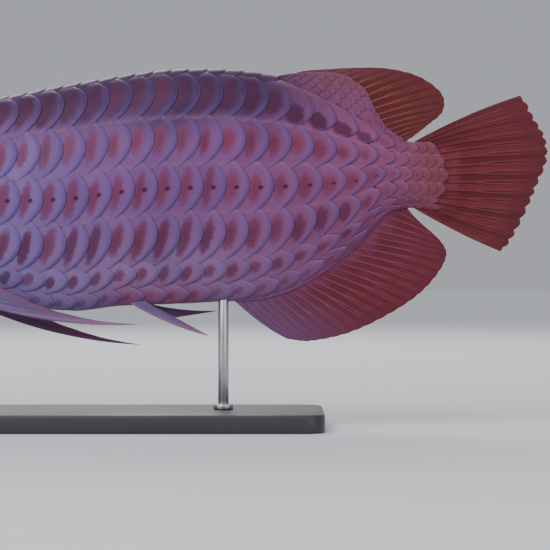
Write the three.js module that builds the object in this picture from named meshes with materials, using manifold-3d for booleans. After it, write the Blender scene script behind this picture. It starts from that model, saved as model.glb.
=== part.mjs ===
// An Asian arowana swimming to the left, life size, on a plain display stand.
// Millimetres, +Z up, X along the fish with its head towards -X, and its left side towards -Y.
// The fish is laid out in its own frame first: x runs from the tip of the snout, z from the middle of the tail stalk.

import * as THREE from "three";
import { mergeVertices } from "three/addons/utils/BufferGeometryUtils.js";
import Module from "manifold-3d";

const wasm = await Module();
wasm.setup();

// Driving sizes of the fish.
const STANDARD_LENGTH = 480; // snout to the end of the scaled body
const AXIS_HEIGHT = 168; // middle of the tail stalk above the floor
const GAP = 0.3; // between pieces that touch
const LEFT = -1;
const RIGHT = 1;

// Scales.
const SCALE_PITCH = 15; // along the body, from one rear edge to the next
const TAIL_PITCH_SHARE = 0.6; // of that pitch, at the tail fin
const SCALE_LIFT = 1.1; // height of a scale's free edge
const SCALE_STEP = 0.8; // length of the drop behind that edge
const SCALE_BULGE = 0.8; // of a pitch, by which the free edge is rounded
const ROW_ZIGZAG = 0.07; // of a row, by which neighbouring rows lock together
const ROW_EDGES = [0, 0.074, 0.242, 0.424, 0.613, 0.8, 0.898, 1]; // of the half girth, back to keel
const FIRST_SCALE_X = 84; // hidden below the gill covers

// Head.
const SNOUT_HEIGHT = 9;
const EYE = { x: 31, z: 1.8, radius: 10.3, thick: 6.5, proud: 3 };
const GAPE_CORNER = { x: 53.2, z: -25.3 };
const GAPE_SAG = 1.6;
const GILL_ARC = { x: 92, z: -14, length: 38, height: 33, from: -80, to: 75 };
const GILL_PLATE = { front: 81, lift: 1.3, thick: 3.7 };
const BARBEL = { root: [4, 3.6, -1], mid: [-10, 5.5, 1], tip: [-25, 10, 9], thick: 1.4, thin: 0.5 };

// Where the body is parted.
const VENT_X = 345;

// Fins.
const RAY_ROOT = 1.1; // half the thickness of a fin ray at its root
const RAY_TIP = 0.4;
const MEMBRANE = 0.28; // half the thickness of the skin between rays

// Stand.
const BASE = { length: 280, width: 124, thick: 12, corner: 14, bevel: 1.5 };
const ROD_RADIUS = 3.5;
const ROD_X = { front: 178, rear: 338 }; // from the snout

// Side outlines and half widths of the body, each as [x, value] from the tip of the snout.
const BACK_LINE = [
  [0, SNOUT_HEIGHT], [3, 11.8], [23, 14.6], [46, 18], [96, 28.4], [156, 43], [223, 57], [289, 68], [322, 69.8],
  [356, 68], [382, 62.6], [409, 50.4], [435, 34.6], [455, 23.4], [480, 23.2], [500, 25],
];
const BELLY_LINE = [
  [0, SNOUT_HEIGHT], [1.5, 4.2], [5, -2.5], [15, -15], [30, -27.6], [53, -42.6], [83, -56], [123, -69],
  [163, -79], [205, -86.8], [240, -90.2], [268, -87], [300, -85.8], [336, -84], [366, -80.6], [386, -73.5],
  [407, -61.2], [428, -45], [446, -26], [459, -21.8], [480, -23.6], [500, -25],
];
const HALF_WIDTH = [
  [0, 0], [1.2, 5], [4, 8.2], [12, 12], [23, 14.8], [37, 17.4], [57, 20.8], [83, 23.8], [130, 26.4],
  [190, 27.4], [256, 27], [316, 25], [360, 20.6], [410, 14.2], [456, 8.6], [480, 6.2], [500, 5],
];

// A smooth curve through [x, value] rows. It runs on the root of x, so that the snout comes out round.
function smoothLine(rows) {
  const at = rows.map(([x]) => Math.sqrt(x));
  const slope = rows.map((row, i) => {
    const before = Math.max(0, i - 1);
    const after = Math.min(rows.length - 1, i + 1);
    return (rows[after][1] - rows[before][1]) / (at[after] - at[before]);
  });
  return (x) => {
    const q = Math.sqrt(Math.max(0, x));
    let i = 0;
    while (i < rows.length - 2 && q > at[i + 1]) i += 1;
    const span = at[i + 1] - at[i];
    const t = Math.min(1, (q - at[i]) / span);
    const rise = t * t * (3 - 2 * t);
    const bend = span * (t * (1 - t) * (1 - t) * slope[i] - t * t * (1 - t) * slope[i + 1]);
    return rows[i][1] * (1 - rise) + rows[i + 1][1] * rise + bend;
  };
}

const backAt = smoothLine(BACK_LINE);
const bellyAt = smoothLine(BELLY_LINE);
const halfWidthAt = smoothLine(HALF_WIDTH);
const mix = (a, b, t) => a + (b - a) * t;
const ease = (t) => THREE.MathUtils.smoothstep(t, 0, 1);

// The cross-section at x: boxy on the head, round over the back, and drawn to a keel along the belly.
const HEAD_TOP_POWER = 2.7;
const BACK_POWER = 2.1;
const THROAT_POWER = 2.1;
const KEEL_POWER = 1.7;
function sectionAt(x) {
  const body = ease((x - 60) / 120);
  const top = backAt(x);
  const bottom = bellyAt(x);
  return {
    top,
    bottom,
    half: halfWidthAt(x),
    middle: mix(bottom, top, 0.53),
    upper: mix(HEAD_TOP_POWER, BACK_POWER, body),
    lower: mix(THROAT_POWER, KEEL_POWER, body),
  };
}

const SECTION_STEPS = 72;
const sectionCache = new Map();

// Points of the right half of a section, from back to keel, with the share of the half girth run so far.
function halfGirth(x) {
  const key = x.toFixed(4);
  if (sectionCache.has(key)) return sectionCache.get(key);
  const s = sectionAt(x);
  const points = [];
  for (let i = 0; i <= SECTION_STEPS; i += 1) {
    const angle = (Math.PI * i) / SECTION_STEPS;
    const upper = i <= SECTION_STEPS / 2;
    const power = 2 / (upper ? s.upper : s.lower);
    const height = upper ? s.top - s.middle : s.middle - s.bottom;
    const rise = Math.abs(Math.cos(angle)) ** power * height;
    const y = s.half * Math.abs(Math.sin(angle)) ** power;
    points.push({ y: i === SECTION_STEPS ? 0 : y, z: s.middle + (upper ? rise : -rise), run: 0 });
  }
  for (let i = 1; i < points.length; i += 1) {
    const step = Math.hypot(points[i].y - points[i - 1].y, points[i].z - points[i - 1].z);
    points[i].run = points[i - 1].run + step;
  }
  const total = points[SECTION_STEPS].run || 1;
  points.forEach((p) => {
    p.run /= total;
  });
  sectionCache.set(key, points);
  return points;
}

// A point of the skin. girth runs from 0 at the back to 1 at the keel, and lift is the height over the skin.
function skinPoint(x, girth, side, lift = 0) {
  const points = halfGirth(x);
  const share = Math.min(1, Math.max(0, girth));
  let i = 0;
  while (i < SECTION_STEPS - 1 && points[i + 1].run < share) i += 1;
  const a = points[i];
  const b = points[i + 1];
  const t = b.run > a.run ? (share - a.run) / (b.run - a.run) : 0;
  const before = points[Math.max(0, i - 1)];
  const after = points[Math.min(SECTION_STEPS, i + 2)];
  let ny = -(after.z - before.z);
  let nz = after.y - before.y;
  if (share <= 0) [ny, nz] = [0, 1];
  if (share >= 1) [ny, nz] = [0, -1];
  const size = Math.hypot(ny, nz) || 1;
  const y = mix(a.y, b.y, t) + (ny / size) * lift;
  return [x, side * Math.max(0, y), mix(a.z, b.z, t) + (nz / size) * lift];
}

// Solids and meshes.
function solidOf(geometry) {
  const bare = new THREE.BufferGeometry();
  bare.setAttribute("position", geometry.getAttribute("position").clone());
  if (geometry.index) bare.setIndex(geometry.index.clone());
  const merged = mergeVertices(bare, 1e-4);
  const made = new wasm.Manifold(
    new wasm.Mesh({
      numProp: 3,
      vertProperties: new Float32Array(merged.attributes.position.array),
      triVerts: new Uint32Array(merged.index.array),
    }),
  );
  return made;
}

function geometryOf(solid) {
  const mesh = solid.getMesh();
  const stride = mesh.numProp;
  const positions = new Float32Array(mesh.numVert * 3);
  for (let i = 0; i < mesh.numVert; i += 1) {
    positions.set(mesh.vertProperties.subarray(i * stride, i * stride + 3), i * 3);
  }
  const geometry = new THREE.BufferGeometry();
  geometry.setAttribute("position", new THREE.BufferAttribute(positions, 3));
  geometry.setIndex(new THREE.BufferAttribute(new Uint32Array(mesh.triVerts), 1));
  geometry.computeVertexNormals();
  return geometry;
}

// The largest closed body of a solid, once cuts have left scraps.
function largest(solid) {
  return solid.decompose().reduce((best, next) => (next.volume() > best.volume() ? next : best));
}

// The body of a solid that lies on one side of the fish.
function onSide(solid, side) {
  const middleY = (s) => (s.boundingBox().min[1] + s.boundingBox().max[1]) / 2;
  const pieces = solid.decompose().filter((s) => middleY(s) * side > 0);
  return pieces.reduce((best, next) => (next.volume() > best.volume() ? next : best));
}

// A mesh under construction, from points and faces of any number of corners.
class Shell {
  constructor() {
    this.points = [];
    this.faces = [];
  }

  point(p) {
    this.points.push(...p);
    return this.points.length / 3 - 1;
  }

  face(...corners) {
    for (let i = 1; i < corners.length - 1; i += 1) {
      const triangle = [corners[0], corners[i], corners[i + 1]];
      if (new Set(triangle).size === 3) this.faces.push(...triangle);
    }
  }

  solid() {
    const geometry = new THREE.BufferGeometry();
    geometry.setAttribute("position", new THREE.Float32BufferAttribute(this.points, 3));
    geometry.setIndex(this.faces);
    const made = solidOf(geometry);
    if (made.volume() > 0) return made;
    for (let i = 0; i < this.faces.length; i += 3) {
      [this.faces[i + 1], this.faces[i + 2]] = [this.faces[i + 2], this.faces[i + 1]];
    }
    geometry.setIndex(this.faces);
    return solidOf(geometry);
  }
}

const REGION_WIDTH = 200;

// A side outline taken through the whole width of the fish.
function through(shape, curveSegments = 24) {
  const settings = { depth: REGION_WIDTH, bevelEnabled: false, curveSegments };
  const geometry = new THREE.ExtrudeGeometry(shape, settings);
  geometry.rotateX(Math.PI / 2);
  geometry.translate(0, REGION_WIDTH / 2, 0);
  return solidOf(geometry);
}

function outline(points) {
  return new THREE.Shape(points.map(([x, z]) => new THREE.Vector2(x, z)));
}

function smoothOutline(points, steps = 20) {
  const corners = points.map(([x, z]) => new THREE.Vector2(x, z));
  return new THREE.Shape(new THREE.SplineCurve([...corners, corners[0]]).getPoints(steps).slice(0, -1));
}

// The plain skin of the head as a closed solid, lifted or sunk by an even amount.
const HEAD_END_X = 150;
const HEAD_RINGS = 18;
const HEAD_GIRTH_STEPS = 14;
function headSkin(lift = 0) {
  const shell = new Shell();
  const rings = [];
  for (let i = 1; i <= HEAD_RINGS; i += 1) {
    const x = HEAD_END_X * (i / HEAD_RINGS) ** 1.45;
    const ring = [];
    for (let j = 0; j < 2 * HEAD_GIRTH_STEPS; j += 1) {
      const side = j <= HEAD_GIRTH_STEPS ? RIGHT : LEFT;
      const step = side === RIGHT ? j : 2 * HEAD_GIRTH_STEPS - j;
      ring.push(shell.point(skinPoint(x, step / HEAD_GIRTH_STEPS, side, lift)));
    }
    rings.push(ring);
  }
  const count = rings[0].length;
  const tip = shell.point([-lift, 0, SNOUT_HEIGHT]);
  const heart = shell.point([HEAD_END_X, 0, (backAt(HEAD_END_X) + bellyAt(HEAD_END_X)) / 2]);
  for (let j = 0; j < count; j += 1) {
    const k = (j + 1) % count;
    shell.face(tip, rings[0][j], rings[0][k]);
    for (let i = 0; i < rings.length - 1; i += 1) {
      shell.face(rings[i][j], rings[i + 1][j], rings[i + 1][k], rings[i][k]);
    }
    shell.face(heart, rings.at(-1)[k], rings.at(-1)[j]);
  }
  return shell.solid();
}

// Where the free edges of the scales lie along the body: half pitches, counted from the first one.
const columnX = [FIRST_SCALE_X];
while (columnX.at(-1) < STANDARD_LENGTH + 6) {
  const x = columnX.at(-1);
  const pitch = SCALE_PITCH * mix(1, TAIL_PITCH_SHARE, ease((x - 400) / 80));
  columnX.push(x + pitch / 2);
}
if (columnX.length % 2 === 0) columnX.pop();

// The scaled body as one closed solid. Each scale rises towards its rounded rear edge and drops to the next.
const EDGE_ACROSS = [-0.55, 0, 0.55];
function scaledSkin(lift = 0) {
  const shell = new Shell();
  const lastRow = ROW_EDGES.length - 2;
  const halfPitch = (k) => columnX[Math.min(k + 1, columnX.length - 1)] - columnX[Math.min(k, columnX.length - 2)];

  // The points on the line between two rows, shared by both.
  const seams = new Map();
  const seam = (line, k, side) => {
    const own = line === lastRow + 1 ? RIGHT : side;
    const key = `${line}/${k}/${own}`;
    if (!seams.has(key)) {
      const locks = line <= lastRow;
      const height = ROW_EDGES[line] - ROW_EDGES[line - 1];
      const shift = locks ? ROW_ZIGZAG * height * ((k - line) % 2 === 0 ? -1 : 1) : 0;
      seams.set(key, shell.point(skinPoint(columnX[k], ROW_EDGES[line] + shift, own, lift)));
    }
    return seams.get(key);
  };

  // One row of scales between two seams. The row along the back spans both sides.
  const addRow = (row, side) => {
    const onBack = row === 0;
    const place = (across, k, free) => {
      const bulge = SCALE_BULGE * 2 * halfPitch(k) * (1 - across * across);
      const x = columnX[k] + bulge + (free ? 0 : SCALE_STEP);
      const rise = lift + (free ? SCALE_LIFT * (1 - across * across) ** 0.6 : 0);
      const half = (ROW_EDGES[row + 1] - ROW_EDGES[row]) / 2;
      if (onBack) return shell.point(skinPoint(x, Math.abs(across) * ROW_EDGES[1], across < 0 ? LEFT : RIGHT, rise));
      return shell.point(skinPoint(x, ROW_EDGES[row] + half * (1 + across), side, rise));
    };
    const low = (k) => (onBack ? seam(1, k, LEFT) : seam(row, k, side));
    const high = (k) => (onBack ? seam(1, k, RIGHT) : seam(row + 1, k, side));
    const turned = onBack || side === RIGHT;
    const face = (first, ...others) => shell.face(first, ...(turned ? others : others.reverse()));
    let previous = null;
    const ends = { front: null, rear: null };
    for (let k = row % 2; k < columnX.length; k += 2) {
      const edge = previous ? EDGE_ACROSS.map((a) => place(a, k, true)) : null;
      if (previous) {
        for (let i = 0; i < EDGE_ACROSS.length - 1; i += 1) {
          face(previous[i], previous[i + 1], edge[i + 1], edge[i]);
        }
        const last = EDGE_ACROSS.length - 1;
        face(previous[0], edge[0], low(k - 1));
        face(previous[0], low(k - 1), low(k - 2));
        face(edge[0], low(k), low(k - 1));
        face(previous[last], high(k - 1), edge[last]);
        face(previous[last], high(k - 2), high(k - 1));
        face(edge[last], high(k - 1), high(k));
      }
      if (k + 2 < columnX.length || !edge) {
        const foot = EDGE_ACROSS.map((a) => place(a, k, false));
        if (edge) {
          for (let i = 0; i < EDGE_ACROSS.length - 1; i += 1) face(edge[i], edge[i + 1], foot[i + 1], foot[i]);
          face(edge[0], foot[0], low(k));
          face(edge.at(-1), high(k), foot.at(-1));
        }
        previous = foot;
      } else {
        previous = edge;
      }
      const rim = [low(k), ...previous, high(k)];
      if (!ends.front) ends.front = { k, rim };
      ends.rear = { k, rim };
    }
    return ends;
  };

  // Both ends are closed with a fan from the middle of the body.
  const rows = [{ row: 0, side: RIGHT, ends: addRow(0, RIGHT) }];
  [LEFT, RIGHT].forEach((side) => {
    for (let row = 1; row <= lastRow; row += 1) rows.push({ row, side, ends: addRow(row, side) });
  });
  const closeEnd = (which) => {
    const ks = rows.map((r) => r.ends[which].k);
    const end = which === "front" ? Math.min(...ks) : Math.max(...ks);
    const x = columnX[end];
    const heart = shell.point([x, 0, (backAt(x) + bellyAt(x)) / 2]);
    rows.forEach(({ row, side, ends }) => {
      const { k, rim } = ends[which];
      const forward = (row === 0 || side === RIGHT) === (which === "front");
      const around = forward ? [...rim].reverse() : [...rim];
      for (let i = 0; i < around.length - 1; i += 1) shell.face(heart, around[i], around[i + 1]);
      if (k === end) return;
      // A row that stops half a pitch short is joined to its neighbours along the seams.
      const nearLow = row === 0 ? seam(1, end, LEFT) : seam(row, end, side);
      const nearHigh = row === 0 ? seam(1, end, RIGHT) : seam(row + 1, end, side);
      const pairs = [[nearLow, rim[0]], [rim.at(-1), nearHigh]];
      pairs.forEach(([a, b]) => (forward ? shell.face(heart, b, a) : shell.face(heart, a, b)));
    });
  };
  closeEnd("front");
  closeEnd("rear");
  return shell.solid();
}

// The mouth line in side view, from ahead of the snout to the corner of the mouth.
function gapeLine(shift = 0) {
  const middle = [GAPE_CORNER.x / 2, (SNOUT_HEIGHT + GAPE_CORNER.z) / 2 - GAPE_SAG];
  return [[-12, SNOUT_HEIGHT + 6], [0, SNOUT_HEIGHT], middle, [GAPE_CORNER.x, GAPE_CORNER.z]].map(
    ([x, z]) => [x + shift * 0.6, z + shift * 0.8],
  );
}

// Side outline of the lower jaw, below the mouth line and ahead of the throat.
function jawRegion(grow = 0) {
  const throat = [[66 + grow, -70], [-12, -70]];
  return through(outline([...gapeLine(grow), ...throat]));
}

// Side outline of all that lies ahead of the gill opening.
function headRegion(grow = 0) {
  const shape = new THREE.Shape();
  const arc = GILL_ARC;
  const radians = THREE.MathUtils.degToRad;
  shape.moveTo(-40, -100);
  shape.lineTo(84 + grow, -100);
  shape.absellipse(arc.x, arc.z, arc.length + grow, arc.height + grow, radians(arc.from), radians(arc.to), false);
  shape.lineTo(101 + grow, 80);
  shape.lineTo(-40, 80);
  return through(shape, 20);
}

// Side outline of a gill cover, from the cheek to its rounded rear edge.
function gillPlateRegion(grow = 0) {
  const shape = new THREE.Shape();
  const arc = GILL_ARC;
  const radians = THREE.MathUtils.degToRad;
  shape.moveTo(GILL_PLATE.front + 9 - grow, arc.z - arc.height + 3 - grow);
  shape.absellipse(arc.x, arc.z, arc.length + grow, arc.height + grow, radians(arc.from), radians(arc.to), false);
  shape.lineTo(GILL_PLATE.front + 5 - grow, arc.z + arc.height - 5 + grow);
  shape.quadraticCurveTo(GILL_PLATE.front - 4 - grow, arc.z, GILL_PLATE.front + 9 - grow, arc.z - arc.height + 3 - grow);
  return through(shape, 16);
}

// The upper lip: a bony plate along the mouth line that widens behind the eye.
const LIP_LIFT = 1.1;
function upperLip() {
  const points = [[3, 9], [20, -0.5], [40, -11], [55, -17], [57.5, -26], [50, -25.4], [26, -9.6]];
  return headSkin(LIP_LIFT).intersect(through(smoothOutline(points)));
}

function eyeSolid(side, grow = 0) {
  const skinY = skinPoint(EYE.x, 0.42, RIGHT)[1];
  const geometry = new THREE.SphereGeometry(1, 16, 8);
  geometry.rotateX(Math.PI / 2);
  geometry.scale(EYE.radius + grow, EYE.thick + grow, EYE.radius + grow);
  geometry.translate(EYE.x, side * (skinY + EYE.proud - EYE.thick), EYE.z);
  return solidOf(geometry);
}

// The raised rim of the eye socket.
function eyeRim() {
  const shape = new THREE.Shape();
  shape.absarc(EYE.x, EYE.z, EYE.radius + 2, 0, 2 * Math.PI, false);
  return headSkin(0.8).intersect(through(shape, 24));
}

const NOSTRILS = [
  { x: 7.5, z: 8.2, radius: 1.3 },
  { x: 15.5, z: 8.6, radius: 1.6 },
];

function nostrilSolid({ x, z, radius }, side) {
  const skinY = halfWidthAt(x) * 0.78;
  const geometry = new THREE.SphereGeometry(radius, 10, 8);
  geometry.scale(1.2, 1.6, 0.8);
  geometry.translate(x, side * skinY, z);
  return solidOf(geometry);
}

// A tapered round feeler along a curve.
function feelerSolid(points, thick, thin) {
  const curve = new THREE.CatmullRomCurve3(points.map((p) => new THREE.Vector3(...p)));
  const steps = 8;
  const sides = 8;
  const frames = curve.computeFrenetFrames(steps, false);
  const shell = new Shell();
  const rings = [];
  for (let i = 0; i <= steps; i += 1) {
    const centre = curve.getPointAt(i / steps);
    const radius = mix(thick, thin, i / steps);
    rings.push(
      Array.from({ length: sides }, (_, j) => {
        const angle = (2 * Math.PI * j) / sides;
        const p = centre.clone();
        p.addScaledVector(frames.normals[i], Math.cos(angle) * radius);
        p.addScaledVector(frames.binormals[i], Math.sin(angle) * radius);
        return shell.point(p.toArray());
      }),
    );
  }
  const root = shell.point(curve.getPointAt(0).toArray());
  const tip = shell.point(curve.getPointAt(1).addScaledVector(curve.getTangentAt(1), thin).toArray());
  for (let j = 0; j < sides; j += 1) {
    const k = (j + 1) % sides;
    shell.face(root, rings[0][k], rings[0][j]);
    for (let i = 0; i < steps; i += 1) shell.face(rings[i][j], rings[i][k], rings[i + 1][k], rings[i + 1][j]);
    shell.face(tip, rings[steps][j], rings[steps][k]);
  }
  return shell.solid();
}

// A fin is a fan of rays with thin skin between. rootAt(t) and tipAt(t) give the ends of the ray at t, from 0 on
// the leading ray to 1 on the last, bowAt(t) is how far the ray's middle is bent aside, and normal is the way that
// the fin's thickness runs.
function finSolid({ rays, steps, rootAt, tipAt, bowAt, normal = null, notch = 0, thick = 1, leading = 1 }) {
  const lines = 2 * rays - 1;
  const shell = new Shell();
  const middle = [];
  for (let i = 0; i < lines; i += 1) {
    const t = i / (lines - 1);
    const between = i % 2 === 1;
    const root = new THREE.Vector3(...rootAt(t));
    const tip = new THREE.Vector3(...tipAt(t));
    const bow = new THREE.Vector3(...bowAt(t));
    if (between) tip.lerp(root, notch / Math.max(1, tip.distanceTo(root)));
    middle.push(
      Array.from({ length: steps + 1 }, (_, j) => {
        const run = j / steps;
        const p = root.clone().lerp(tip, run);
        return p.addScaledVector(bow, 4 * run * (1 - run));
      }),
    );
  }
  const normalAt = (i, j) => {
    if (normal) return new THREE.Vector3(...normal);
    const along = middle[i][Math.min(steps, j + 1)].clone().sub(middle[i][Math.max(0, j - 1)]);
    const across = middle[Math.min(lines - 1, i + 1)][j].clone().sub(middle[Math.max(0, i - 1)][j]);
    return along.cross(across).normalize();
  };
  const halfThick = (i, j) => {
    const run = j / steps;
    if (i % 2 === 1) return MEMBRANE;
    const first = i === 0 ? leading : 1;
    return mix(RAY_ROOT * thick * first, RAY_TIP * Math.min(1.2, first), run ** 0.7);
  };
  const sheets = [1, -1].map((way) =>
    middle.map((line, i) =>
      line.map((p, j) => shell.point(p.clone().addScaledVector(normalAt(i, j), way * halfThick(i, j)).toArray())),
    ),
  );
  const [near, far] = sheets;
  for (let i = 0; i < lines - 1; i += 1) {
    for (let j = 0; j < steps; j += 1) {
      shell.face(near[i][j], near[i + 1][j], near[i + 1][j + 1]);
      shell.face(near[i][j], near[i + 1][j + 1], near[i][j + 1]);
      shell.face(far[i][j], far[i + 1][j + 1], far[i + 1][j]);
      shell.face(far[i][j], far[i][j + 1], far[i + 1][j + 1]);
    }
    shell.face(near[i][0], far[i][0], far[i + 1][0], near[i + 1][0]);
    shell.face(near[i][steps], near[i + 1][steps], far[i + 1][steps], far[i][steps]);
  }
  for (let j = 0; j < steps; j += 1) {
    shell.face(near[0][j], near[0][j + 1], far[0][j + 1], far[0][j]);
    const last = lines - 1;
    shell.face(near[last][j], far[last][j], far[last][j + 1], near[last][j + 1]);
  }
  return shell.solid();
}

// A smooth path through [x, z] or [x, y, z] points, read by share of its own parameter.
function pathThrough(points) {
  const flat = points[0].length === 2;
  const curve = new THREE.CatmullRomCurve3(
    points.map((p) => (flat ? new THREE.Vector3(p[0], 0, p[1]) : new THREE.Vector3(...p))),
  );
  return (t) => curve.getPoint(Math.min(1, Math.max(0, t))).toArray();
}

const ROOT_DEPTH = 7; // how far a median fin's rays start inside the body before they are trimmed

function dorsalFin() {
  const tipAt = pathThrough([
    [399, 70], [424, 71.8], [447, 71.4], [468, 66], [483, 54.6], [484, 42.4], [474, 33], [464.6, 25.4],
  ]);
  const rootAt = (t) => {
    const x = mix(376, 456, t);
    return [x, 0, backAt(x) - mix(3, ROOT_DEPTH, ease(t * 2))];
  };
  const bowAt = (t) => [-1, 0, mix(2.4, 1, t)];
  return finSolid({ rays: 19, steps: 4, rootAt, tipAt, bowAt, normal: [0, 1, 0], notch: 1 });
}

function analFin() {
  const tipAt = pathThrough([
    [381, -109.6], [397, -111], [422, -105.4], [449, -92.4], [471.4, -76.6], [486, -57.6], [484, -45.2], [463, -26.6],
  ]);
  const rootAt = (t) => {
    const x = mix(343, 452, t);
    return [x, 0, bellyAt(x) + mix(2, ROOT_DEPTH, ease(t * 3))];
  };
  const bowAt = (t) => [1, 0, mix(-3, 1.4, ease(t * 3))];
  return finSolid({ rays: 23, steps: 4, rootAt, tipAt, bowAt, normal: [0, 1, 0], notch: 1 });
}

function caudalFin() {
  const tipAt = pathThrough([
    [537, 53.4], [545.4, 38], [553, 25], [554, 10], [546.4, -6.4], [540, -21], [532, -38], [524, -51.8],
  ]);
  const rootAt = pathThrough([[462, 21.5], [474, 17], [479, 0], [474, -17.5], [462, -21.5]]);
  const bowAt = (t) => [0, 0, mix(2.6, -1.6, t)];
  return finSolid({ rays: 17, steps: 5, rootAt, tipAt, bowAt, normal: [0, 1, 0], notch: 1.6, thick: 2 });
}

// A pectoral fin, swept back beside the belly. droop turns it down about its root.
function pectoralFin(side, droop) {
  const tips = pathThrough([
    [286, -54, -98.4], [262, -51, -96.4], [242, -46, -92.6], [222, -39, -87], [200, -31, -77.6], [160, -21.5, -61],
  ]);
  const roots = pathThrough([[122, -10, -58], [127, -13, -53], [131, -16, -47]]);
  const pivot = new THREE.Vector3(127, -14, -54);
  const turn = (p) => {
    const turned = new THREE.Vector3(...p).sub(pivot);
    turned.applyAxisAngle(new THREE.Vector3(0, 1, 0), THREE.MathUtils.degToRad(droop)).add(pivot);
    return [turned.x, turned.y * -side, turned.z];
  };
  return finSolid({
    rays: 8, steps: 7, rootAt: (t) => turn(roots(t)), tipAt: (t) => turn(tips(t)),
    bowAt: (t) => [-3, side * mix(9, 3, t), mix(-12.5, -3, t)], notch: 0.8, thick: 1.1, leading: 1.5,
  });
}

// A pelvic fin, small and narrow. The two are held apart, one low and one level.
function pelvicFin(side, lead, trail) {
  const rootAt = pathThrough([[269, 3 * side, -81], [276, 4 * side, -81], [283, 5 * side, -81]]);
  const tipAt = (t) => lead.map((v, i) => mix(v, trail[i], t));
  const bowAt = (t) => [0, side * 1.5, mix(-3, -1, t)];
  return finSolid({ rays: 6, steps: 5, rootAt, tipAt, bowAt, notch: 0.6, thick: 0.9, leading: 1.2 });
}

function baseSolid() {
  const halfX = BASE.length / 2 - BASE.corner;
  const halfY = BASE.width / 2 - BASE.corner;
  const shape = new THREE.Shape();
  [[halfX, -halfY, -90], [halfX, halfY, 0], [-halfX, halfY, 90], [-halfX, -halfY, 180]].forEach(([x, y, start]) => {
    const from = THREE.MathUtils.degToRad(start);
    shape.absarc(x, y, BASE.corner - BASE.bevel, from, from + Math.PI / 2, false);
  });
  const geometry = new THREE.ExtrudeGeometry(shape, {
    depth: BASE.thick - 2 * BASE.bevel, bevelThickness: BASE.bevel, bevelSize: BASE.bevel, bevelSegments: 1, curveSegments: 4,
  });
  geometry.translate(0, 0, BASE.bevel);
  return solidOf(geometry);
}

// A rod from the base up to the belly, in the fish's frame.
function rodSolid(x) {
  const foot = BASE.thick + GAP - AXIS_HEIGHT;
  const head = bellyAt(x) + 12;
  const geometry = new THREE.CylinderGeometry(ROD_RADIUS, ROD_RADIUS, head - foot, 20);
  geometry.rotateX(Math.PI / 2);
  geometry.translate(x, 0, (head + foot) / 2);
  return solidOf(geometry);
}

// Side outline of all that lies ahead of the tail fin, whose root is rounded.
function bodyRegion(grow = 0) {
  const shape = new THREE.Shape();
  const corner = STANDARD_LENGTH - 8 + grow;
  shape.moveTo(-60, -200);
  shape.lineTo(corner, -200);
  shape.lineTo(corner, -26);
  shape.quadraticCurveTo(corner + 14, 0, corner, 26);
  shape.lineTo(corner, 200);
  shape.lineTo(-60, 200);
  return through(shape, 8);
}

// The body, parted into head, jaw, gill covers, trunk and tail stalk.
const scaled = scaledSkin();
const grownBody = scaledSkin(GAP).intersect(bodyRegion(GAP));
const bodySolid = scaled.subtract(headRegion(GAP)).intersect(bodyRegion());

const block = (fromX, toX) => {
  const geometry = new THREE.BoxGeometry(toX - fromX, REGION_WIDTH, 2 * REGION_WIDTH);
  geometry.translate((fromX + toX) / 2, 0, 0);
  return solidOf(geometry);
};
const FAR = 700;
const trunk = largest(bodySolid.subtract(block(VENT_X, FAR)));
const tailStalk = largest(bodySolid.subtract(block(-FAR, VENT_X + GAP)));

let skull = headSkin().add(upperLip()).add(eyeRim()).intersect(headRegion());
skull = skull.subtract(gillPlateRegion(GAP).subtract(headSkin(GILL_PLATE.lift - GILL_PLATE.thick - GAP)));
[LEFT, RIGHT].forEach((side) => {
  skull = skull.subtract(eyeSolid(side, GAP));
  NOSTRILS.forEach((nostril) => {
    skull = skull.subtract(nostrilSolid(nostril, side));
  });
});
const gillPlates = headSkin(GILL_PLATE.lift)
  .subtract(headSkin(GILL_PLATE.lift - GILL_PLATE.thick))
  .intersect(gillPlateRegion());
const jaw = largest(skull.intersect(jawRegion()));
const head = largest(skull.subtract(jawRegion(2 * GAP)));

const trimmed = (solid) => largest(solid.subtract(grownBody));
const grownHead = headSkin(GAP);

function barbel(side) {
  const along = [BARBEL.root, BARBEL.mid, BARBEL.tip].map(([x, y, z]) => [x, side * y, z]);
  return largest(feelerSolid(along, BARBEL.thick, BARBEL.thin).subtract(grownHead));
}

const finish = (colour, roughness, metalness = 0) => new THREE.MeshStandardMaterial({ color: colour, roughness, metalness });
const SCALE_MAUVE = finish("#7a5f87", 0.4);
const HEAD_MAUVE = finish("#7d6488", 0.35);
const GILL_PINK = finish("#8e6a86", 0.3);
const FIN_RED = finish("#7c2a33", 0.5);
const DORSAL_RED = finish("#6e3638", 0.5);
const ANAL_PLUM = finish("#6e3c4c", 0.5);
const PAIRED_PLUM = finish("#6b4a72", 0.5);
const EYE_DARK = finish("#1c1014", 0.1);
const STAND_BLACK = finish("#2b2c2e", 0.5);
const ROD_STEEL = finish("#9a9b9d", 0.3, 1);

const fish = new THREE.Group();
function put(name, solid, material) {
  const mesh = new THREE.Mesh(geometryOf(solid), material);
  mesh.name = name;
  fish.add(mesh);
}

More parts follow.
